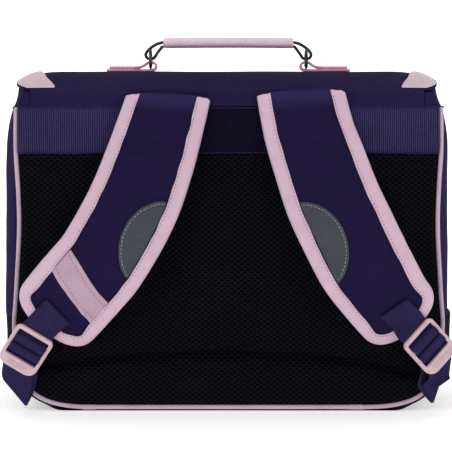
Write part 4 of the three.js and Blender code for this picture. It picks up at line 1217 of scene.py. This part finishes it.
buckle = {
    "webbing": 29.0, "webbingWall": 1.6, "width": 35.4, "length": 41.0, "wall": 4.0, "corner": 5.0, "foot": 9.0,
    "topBar": 4.0, "innerBar": 3.0, "first": 7.0, "second": 6.6, "third": 8.0, "barSwell": 1.3,
    "window": 1.3, "bevel": 1.25, "footSwell": 0.5, "ridges": 3, "ridgeFrom": 2.6, "ridgeStep": 1.9,
    "ridgeHalf": 9, "patch": 25.0, "twist": 8.0, "seat": 11.0, "stitchIn": 2.6, "stitchEnd": 3,
}
# what differs between the two: angles of the buckle, and how its webbing lies, leans, is cut and is pulled
buckleSide = {
    "left": {
        "lean": 57, "roll": 6, "slide": -4.6, "drop": 1.6, "webbingLean": 0.26, "patchSkew": 0.34,
        "tail": 65, "tailLean": 0.4, "skew": 0.35, "fan": (0.0, 0.6, 0.6), "pull": (0.0, 0.0),
    },
    "right": {
        "lean": 48, "roll": 28, "slide": -3.4, "drop": -2.8, "webbingLean": 0.07, "patchSkew": -0.06,
        "tail": 61, "tailLean": 0.5, "skew": 0.5, "fan": (0.0, -4.2, -2.2), "pull": (7.6, 9.5),
    },
}


class BuckleLay:
    # Places at a buckle: across it, down along the webbing, and out
    def __init__(self, name):
        self.name, self.own = name, buckleSide[name]
        lay, side = lays[name], strapSide[name]
        tip = lay.middle(lay.length)
        lean = math.radians(self.own["lean"])
        slope = float(strapLean(tip[1]))
        self.flatOut = unit([0, -1, slope])
        self.down = unit([side * math.cos(lean), -slope * math.sin(lean), -math.sin(lean)])
        self.flatAcross = np.cross(self.down, self.flatOut) * side
        gap = bag["gap"]
        lift = strap["edge"] / 2 + strap["tape"] + 3.5 * gap + buckle["webbingWall"] + buckle["wall"] / 2
        start = onStrap(tip, lift) + self.down * self.own["drop"]
        self.outerEdge = start + self.flatAcross * (self.own["slide"] - buckle["webbing"] / 2)

    def axes(self, turn):
        roll = turn * math.radians(self.own["roll"])
        across = self.flatAcross * math.cos(roll) + self.flatOut * math.sin(roll)
        out = self.flatOut * math.cos(roll) - self.flatAcross * math.sin(roll)
        return across, out

    def place(self, a, s, n, turn=1.0):
        across, out = self.axes(turn)
        return self.outerEdge + across * (a + buckle["webbing"] / 2) + self.down * s + out * n


firstBar = buckle["topBar"] + buckle["first"]
secondBar = firstBar + buckle["innerBar"] + buckle["second"]
liftBar = secondBar + buckle["innerBar"] + buckle["third"]
wrapRadius = math.hypot(buckle["innerBar"], buckle["wall"]) / 2 + bag["gap"] + buckle["webbingWall"] / 2
frontLayer = -(buckle["wall"] / 2 + bag["gap"] + buckle["webbingWall"] / 2)
backLayer = frontLayer - buckle["webbingWall"] - 2 * bag["gap"]


def roundedLoop(left, right, low, high, radii, steps=6):
    # Corners in order: low left, low right, high right, high left
    centres = [
        (left + radii[0], low + radii[0], 180), (right - radii[1], low + radii[1], 270),
        (right - radii[2], high - radii[2], 0), (left + radii[3], high - radii[3], 90),
    ]
    loop = []
    for (x, y, start), radius in zip(centres, radii):
        for k in range(steps + 1):
            angle = math.radians(start + 90 * k / steps)
            loop.append((x + radius * math.cos(angle), y + radius * math.sin(angle)))
    return loop


def buildBuckle(lay):
    half, windowHalf = buckle["width"] / 2 + 0.5, buckle["webbing"] / 2 + bag["gap"]
    corner, foot = buckle["corner"], buckle["foot"]
    loops = [roundedLoop(-half, half, 0, buckle["length"], (corner, corner, foot, foot), 9)]
    for low, high in ((buckle["topBar"], firstBar), (firstBar + buckle["innerBar"], secondBar),
                      (secondBar + buckle["innerBar"], liftBar - buckle["barSwell"])):
        loops.append(roundedLoop(-windowHalf, windowHalf, low, high, (buckle["window"],) * 4, 3))
    work = bmesh.new()
    edges = []
    for loop in loops:
        ring = [work.verts.new((x, y, 0)) for x, y in loop]
        edges += [work.edges.new((a, b)) for a, b in zip(ring, ring[1:] + ring[:1])]
    bmesh.ops.triangle_fill(work, use_beauty=True, use_dissolve=False, edges=edges)
    pushed = bmesh.ops.extrude_face_region(work, geom=list(work.faces))
    for v in work.verts:
        v.co.z = -buckle["wall"] / 2
    for v in pushed["geom"]:
        if isinstance(v, bmesh.types.BMVert):
            v.co.z = buckle["wall"] / 2
    bmesh.ops.recalc_face_normals(work, faces=work.faces)
    rim = [e for e in work.edges if len(e.link_faces) == 2 and e.calc_face_angle(0) > math.radians(60)]
    bmesh.ops.bevel(
        work, geom=rim, offset=buckle["bevel"], segments=4, profile=0.5, affect="EDGES", clamp_overlap=True
    )
    points = []
    for v in work.verts:
        # the lift bar swells towards the foot
        swell = buckle["footSwell"] * smoothstep(v.co.y, liftBar, buckle["length"] - 3) * np.sign(v.co.z)
        points.append(lay.place(v.co.x, v.co.y, v.co.z + float(swell)))
    work.verts.index_update()
    faces = [tuple(v.index for v in f.verts) for f in work.faces]
    work.free()
    piece = makePiece("ladder_buckle_" + lay.name, points, faces, "pinkPlastic")
    shade = piece.modifiers.new("shade", "WEIGHTED_NORMAL")
    shade.keep_sharp = True
    settle(piece, "pink_plastic", "buckle_" + lay.name)
    # grip ridges on the lift bar
    bundle = Bundle()
    for k in range(buckle["ridges"]):
        s = liftBar + buckle["ridgeFrom"] + buckle["ridgeStep"] * k
        steps = np.linspace(-buckle["ridgeHalf"], buckle["ridgeHalf"], 12)
        points, faces, _ = tubeMesh([lay.place(a, s, buckle["wall"] / 2 + 0.25) for a in steps], 0.45, 8)
        bundle.add(points, faces)
    bundle.settle("buckle_ridges_" + lay.name, "pinkPlastic", "pink_plastic")


def overBar(centre):
    return [(centre + wrapRadius * math.cos(a), wrapRadius * math.sin(a)) for a in np.linspace(math.pi, 0, 9)]


def ribbonPiece(name, lay, route, replaced):
    # A route's steps are seen from the side: down (s) and out (n), or a fixed depth (y) on the bag.
    # At a step the ribbon can slide across, be skewed, and turn with the buckle. Its outer edge alone
    # can fan out or be pulled down. Turned tells which face looks out where it lies on the bag.
    columns = np.linspace(-0.5, 0.5, 13)
    half = buckle["webbingWall"] / 2
    _, out = lay.axes(1.0)
    flat = []
    for step in route:
        s = step["s"]
        flat.append((s, step["n"] if "n" in step else (step["y"] - lay.place(0, s, 0)[1]) / out[1]))
    flat = np.array(flat, float)
    normal = lineNormals(flat)
    faces = {1: [], -1: []}
    for sign in faces:
        for i, step in enumerate(route):
            s, n = flat[i] + normal[i] * half * sign
            row = []
            for share in columns:
                a, outer = share * buckle["webbing"], max(0, -2 * share)
                down = s + step.get("skew", 0) * a + step.get("pull", 0) * outer
                sideways = a + step.get("slide", 0) - step.get("fan", 0) * outer
                spot = lay.place(sideways, down, n, step.get("turn", 1))
                if "y" in step:
                    spot[1] = step["y"] - sign * step.get("turned", 1) * half
                row.append(spot)
            faces[sign].append(row)
    upper, lower = (curveThrough(np.array(faces[sign]), 5) for sign in (1, -1))
    edge = 1 - smoothstep(np.abs(np.abs(columns) - 0.5), 0, 0.09)
    middle = (upper + lower) / 2
    thin = (1 - 0.35 * edge)[None, :, None]
    upper, lower = middle + (upper - middle) * thin, middle + (lower - middle) * thin
    spread = np.stack(np.meshgrid(columns * buckle["webbing"], runsOf(middle[:, 6])), -1)
    settle(sheetPiece(name, upper, lower, spread, "webbing", full=0.7), "webbing", replaced)


def buildPadWebbing(lay):
    lean, slant, twist = lay.own["webbingLean"], lay.own["patchSkew"], buckle["twist"]
    centre = firstBar + buckle["innerBar"] / 2
    before = centre - wrapRadius
    skewAt = lambda s: slant * (-s - twist) / (buckle["patch"] - twist)
    onPatch = lambda a, s, n: lay.place(a - lean * s, s + skewAt(s) * a, n, 0)
    route = [
        dict(s=s, n=frontLayer, slide=-lean * s, turn=0, skew=skewAt(s))
        for s in np.linspace(-buckle["patch"], -twist, 4)
    ]
    route += [
        dict(s=-twist / 2, n=frontLayer, slide=lean * twist / 2, turn=0.5), dict(s=-bag["gap"], n=frontLayer),
        dict(s=before - 2.6, n=frontLayer), dict(s=before - 0.7, n=0.55 * frontLayer),
        *(dict(s=s, n=n) for s, n in overBar(centre)),
        dict(s=centre + wrapRadius - 0.8, n=0.62 * backLayer), dict(s=centre + 0.6, n=backLayer),
        dict(s=buckle["topBar"], n=backLayer),
    ]
    ribbonPiece("pad_strap_" + lay.name, lay, route, "pad_webbing_" + lay.name)
    # a box of stitches holds it on the pad, inside a raised rim
    half, face = buckle["webbing"] / 2, frontLayer + buckle["webbingWall"] / 2
    wide, low, high = half - buckle["stitchIn"], buckle["stitchEnd"] - buckle["patch"], -twist - 1
    corners = [(-wide, low), (wide, low), (wide, high), (-wide, high), (-wide, low)]
    line = [
        onPatch(a + (b - a) * share, s + (t - s) * share, face + 0.1)
        for (a, s), (b, t) in zip(corners, corners[1:]) for share in np.linspace(0, 1, 12)
    ]
    bundle = Bundle()
    sewAlong(bundle, line, np.repeat(lay.flatOut[None], len(line), 0), "pad")
    wide, low, high = half - 0.5, buckle["stitchEnd"] - 2.4 - buckle["patch"], -twist - 2
    border = [onPatch(a, s, face - 0.1) for a, s in ((wide, high), (wide, low), (-wide, low), (-wide, high))]
    settle(tubePiece("pad_strap_rim_" + lay.name, resample(border, 2.0), 0.6, 8, "webbing"), "webbing")
    bundle.settle("pad_strap_stitches_" + lay.name, "navyThread", "webbing")


def buildLowerWebbing(lay):
    centre = secondBar + buckle["innerBar"] / 2
    lean, skew, end, fan, pull = (lay.own[key] for key in ("tailLean", "skew", "tail", "fan", "pull"))
    seatFrom = end - buckle["seat"]
    behind = lambda s: 0.9 * lean * max(0, s - centre - 1)
    before = lambda s: lean * max(0, s - liftBar - 2)
    seatY = backPlane - 0.6 * backPad["pillow"] - bag["gap"] - buckle["webbingWall"] / 2
    layered = buckle["webbingWall"] + 2 * bag["gap"]
    route = [
        dict(s=end, y=seatY, slide=before(end) + 0.6, skew=skew, turned=-1, fan=fan[2], pull=pull[1]),
        dict(s=seatFrom, y=seatY, slide=behind(seatFrom), turned=-1),
        dict(s=liftBar + 1, n=backLayer, slide=behind(liftBar + 1)),
        dict(s=centre + 1, n=backLayer),
        dict(s=centre - wrapRadius + 1, n=0.62 * backLayer),
        *(dict(s=s, n=n) for s, n in overBar(centre)),
        dict(s=centre + wrapRadius + 0.7, n=0.55 * frontLayer),
        dict(s=centre + wrapRadius + 2.6, n=frontLayer),
        dict(s=liftBar + 3, n=frontLayer, slide=before(liftBar + 3)),
        dict(s=buckle["length"] + 1, n=frontLayer, slide=before(buckle["length"] + 1), fan=fan[0]),
        dict(s=seatFrom + 2, y=seatY - layered - 1, slide=before(seatFrom + 2), fan=fan[1], pull=pull[0]),
        dict(s=end, y=seatY - layered, slide=before(end), skew=skew, fan=fan[2], pull=pull[1]),
    ]
    ribbonPiece("lower_strap_" + lay.name, lay, route, "lower_webbing_" + lay.name)


for lay in map(BuckleLay, strapSide):
    buildBuckle(lay)
    buildPadWebbing(lay)
    buildLowerWebbing(lay)
print("buckles and webbing ready")

# handle

handle = {
    "hinge": 316.5, "grip": 120.0, "high": 9.6, "deep": 22.0, "rise": 14.5, "ring": 1.5, "link": 1.2,
    "linkRadius": 8.0, "place": 72.0, "linkSwell": 0.2, "sides": 40, "seam": 0.55, "seamHalf": 1.6,
    "stitchPlace": 3.4, "endRound": [0.96, 0.985, 0.996, 1],
}
gripMiddle = handle["hinge"] + handle["rise"]


def gripBow(share):
    return 0.5 * math.cos(share * 1.5) - 0.25


def buildGrip():
    columns = handle["sides"]
    half = handle["grip"] / 2
    rounded = np.array(handle["endRound"])
    stations = np.concatenate([-rounded[::-1], np.linspace(-0.92, 0.92, 41), rounded])
    points = []
    for share in stations:
        fill = 1 - 0.1 * smoothstep(abs(share) * half, half - 1.5, half)
        for k in range(columns):
            angle = 2 * math.pi * k / columns
            c, s = math.cos(angle), math.sin(angle)
            y = math.copysign(abs(c) ** 0.75, c) * handle["deep"] / 2 * fill
            z = math.copysign(abs(s) ** 0.8, s) * handle["high"] / 2 * fill
            # the leather meets under the grip in a sunk seam
            z += handle["seam"] * math.exp(-((y / handle["seamHalf"]) ** 2)) if s < 0 else 0
            points.append((share * half, y, gripMiddle + z + gripBow(share)))
    piece = makePiece("carry_grip", points, ringFaces(len(stations), columns), "gripLeather")
    settle(piece, "leather", "handle_grip", body="handle")
    # two rows of stitches along the under side
    bundle = Bundle()
    under = gripMiddle - handle["high"] / 2 + 0.3
    steps = np.linspace(5 - half, half - 5, 60)
    for y in (-handle["stitchPlace"], handle["stitchPlace"]):
        sewAlong(bundle, [(x, y, under + gripBow(x / half)) for x in steps], [(0, 0, -1)] * 60, "grip")
    bundle.settle("grip_stitches", "pinkThread", "leather", body="handle")


def buildRing(side, name):
    start = handle["grip"] / 2 + bag["gap"]
    rise, place = handle["rise"], handle["place"]
    reach = place - start
    route = [
        (start - 0.2, rise + 0.4), (start + 1.5, rise + 0.3), (start + 0.5 * reach, rise - 1.0),
        (place, rise - 4.6), (place + 3.8, rise - 8.6), (place + 4.6, 3.0), (place + 3.2, 0.6),
        (place + 1.4, 0), (place - 1.6, 0), (place - 3.6, 1.2), (place - 6.4, rise - 9.0),
        (place - 9.0, rise - 5.6), (start + 1.2, rise - 3.7), (start - 0.2, rise - 3.6),
    ]
    line = smoothLine([(side * x, 0, handle["hinge"] + z) for x, z in route], 0.8)
    piece = tubePiece("grip_ring_" + name, line, handle["ring"], 14, "ringCoat", flatness=1.1)
    settle(piece, "dark_plastic", "handle_ring_" + name, body="handle")


def buildLink(side, name):
    radius, turn = handle["linkRadius"], 3.0
    inset = radius - turn
    arcs = ((0, 180, radius, 0, 0, 28), (180, 270, turn, -inset, -inset, 7), (270, 360, turn, inset, -inset, 7))
    loop = []
    for start, end, r, y, z, steps in arcs:
        for k in range(steps):
            angle = math.radians(start + (end - start) * k / steps)
            height = handle["hinge"] + z + r * math.sin(angle)
            loop.append((side * handle["place"], y + r * math.cos(angle), height))
    wire = handle["link"] + handle["linkSwell"]
    piece = tubePiece("loop_link_" + name, loop, wire, 12, "darkMetal", closed=True)
    settle(piece, "dark_metal", "handle_link_" + name)


tab = {
    # the middle line of the folded leather: its lower layer, round the eye, and its upper layer
    "floor": 304.45, "wall": 2.5, "eyeHalf": 4.2, "tongueHalf": 12.0, "widenFrom": 79.5, "widenTo": 88.0,
    "lower": [(111.4, 1.25), (100, 1.25), (90, 1.25), (82, 1.25), (77, 1.25), (72, 1.4)],
    "eye": [(68.6, 2.1), (67.0, 4.2), (67.4, 6.8), (69.8, 8.5), (73.0, 8.7), (75.9, 7.5), (78.0, 5.8)],
    "upper": [(81.4, 4.4), (86, 3.85), (98, 3.75), (109, 3.75)],
    "cornerRun": (106, 112), "corner": 1.2, "edgeDip": 0.5, "stitchPlace": 9.4, "stitchRun": (91, 107),
}


def buildTab(side, name):
    line = smoothLine(tab["lower"] + tab["eye"] + tab["upper"], 0.7)
    normal = lineNormals(line)
    columns = np.linspace(-1, 1, 13)
    u, c = np.meshgrid(line[:, 0], columns, indexing="ij")
    wide = smoothstep(u, tab["widenFrom"], tab["widenTo"])
    half = tab["eyeHalf"] + (tab["tongueHalf"] - tab["eyeHalf"]) * wide
    corner = smoothstep(u, *tab["cornerRun"]) * (np.abs(c) > 0.99) * tab["corner"]
    faces = []
    for sign in (1, -1):
        spot = line + normal * sign * tab["wall"] / 2
        x = side * np.repeat(spot[:, :1], len(columns), 1)
        z = tab["floor"] + np.repeat(spot[:, 1:], len(columns), 1)
        z -= tab["edgeDip"] * smoothstep(np.abs(c), 0.8, 1) * (z > tab["floor"] + 3) * wide
        faces.append(np.stack([x, c * (half - corner), z], -1))
    lay = np.stack([c * half, u], -1)
    piece = sheetPiece("leather_loop_" + name, *faces, lay, "tabLeather", full=0.7)
    piece.data.materials.append(finishes["tabEdge"])
    for polygon in piece.data.polygons:
        polygon.material_index = int(abs(polygon.normal.y) > 0.45)
    settle(piece, "leather", "handle_tab_" + name)
    bundle = Bundle()
    top = tab["floor"] + tab["upper"][-1][1] + tab["wall"] / 2 - 0.15
    steps = np.linspace(*tab["stitchRun"], 20)
    for y in (-tab["stitchPlace"], tab["stitchPlace"]):
        sewAlong(bundle, [(side * x, y, top) for x in steps], [(0, 0, 1)] * 20, "tab")
    bundle.settle("tab_stitches_" + name, "pinkThread", "leather")


buildGrip()
for name, side in strapSide.items():
    buildTab(side, name)
    buildRing(side, name)
    buildLink(side, name)
print("handle ready")

# hidden clasps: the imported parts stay, with rounded edges

for name in strapSide:
    clasp = nodes["clasp_" + name]
    clasp.data.materials.clear()
    clasp.data.materials.append(finishes["blackPlastic"])
    rounder = clasp.modifiers.new("rounder", "BEVEL")
    rounder.width, rounder.segments = 0.0008, 3

# stitches on the cloth, and black cords of painted shade in the strip's side seams

flapTree = surfaceOf(flapPiece)
sewn = {"heights": (287.3, 285.0), "reach": 171.0, "end": 174.6, "endRise": (272.6, 284.5), "cord": 0.45}


def sewFold():
    bundle = Bundle()
    for height in sewn["heights"]:
        places = [(x, -140, height) for x in np.linspace(-sewn["reach"], sewn["reach"], 170)]
        points, ups = landOn(flapTree, places, (0, 1, 0))
        sewAlong(bundle, points, ups, "fold")
    bundle.settle("fold_stitches", "navyThread", "navy_cloth")


# Painted shade: a thin black cord along each side seam of the strip darkens its narrow gap, where shadow falls
def paintStripSeamShade():
    for name, side in strapSide.items():
        places = [(side * sewn["end"], -140, z) for z in np.linspace(*sewn["endRise"], 16)]
        points = np.array(landOn(flapTree, places, (0, 1, 0))[0]) + (0, 0.15, 0)
        settle(tubePiece("strip_seam_" + name, points, sewn["cord"], 8, "baseCloth"), "navy_cloth")


sewFold()
paintStripSeamShade()
print("stitches ready")

# floor, backdrop and light

studio = {
    "floor": ((240, 240, 241), (242, 242, 244)), "table": 0.47, "world": 0.54, "halfWidth": 9.0, "near": -4.0,
    "sweepFrom": 6.0, "sweep": 2.0, "wallTop": 7.0, "lookAt": (0, 0, 0.16), "backdropAim": (0, 1, -0.35),
    # place, power and size
    "lamps": {
        "key": ((-1.6, -2.6, 1.9), 25.0, 1.6), "fill": ((2.2, -2.2, 1.1), 13.0, 2.0),
        "top": ((0.0, 0.3, 2.6), 10.0, 1.8), "backdrop": ((0, 1.6, 3.6), 260.0, 4.0),
    },
}


def buildStudio():
    # a lit white table, as under the photographed bag: its own light washes most of the shadow out
    floorFinish, tree, shader = newFinish("studioFloor", 0.8, specular=0.1)
    shader.inputs["Emission Color"].default_value = (1, 1, 1, 1)
    shader.inputs["Emission Strength"].default_value = studio["table"]
    speck = noise(tree, placeOn(tree, "Object"), 3.0, 2.0)
    tree.links.new(mixColour(tree, speck, *(colour(*c) for c in studio["floor"])), shader.inputs["Base Color"])
    start, sweep, wide = studio["sweepFrom"], studio["sweep"], studio["halfWidth"]
    bend = [(start + sweep * math.sin(a), sweep - sweep * math.cos(a)) for a in np.linspace(0, math.pi / 2, 12)]
    profile = [(studio["near"], 0.0), *bend, (start + sweep, studio["wallTop"])]
    points = [(x, y, z) for y, z in profile for x in (-wide, wide)]
    faces = [(2 * i, 2 * i + 1, 2 * i + 3, 2 * i + 2) for i in range(len(profile) - 1)]
    data = bpy.data.meshes.new("floor")
    data.from_pydata(points, [], faces)
    for polygon in data.polygons:
        polygon.use_smooth = True
    data.materials.append(floorFinish)
    floor = addObject("floor", data)
    world = bpy.data.worlds.new("studio")
    world.use_nodes = True
    sky = world.node_tree.nodes["Background"].inputs
    sky["Color"].default_value, sky["Strength"].default_value = (1, 1, 1, 1), studio["world"]
    bpy.context.scene.world = world
    for name, (place, power, size) in studio["lamps"].items():
        light = bpy.data.lights.new(name, "AREA")
        light.energy, light.size = power, size
        lamp = addObject(name, light)
        lamp.location = place
        aim = studio["backdropAim"] if name == "backdrop" else Vector(studio["lookAt"]) - Vector(place)
        lamp.rotation_euler = aimed(aim)
    bpy.context.scene.view_settings.view_transform = "Standard"


buildStudio()
print("studio ready")
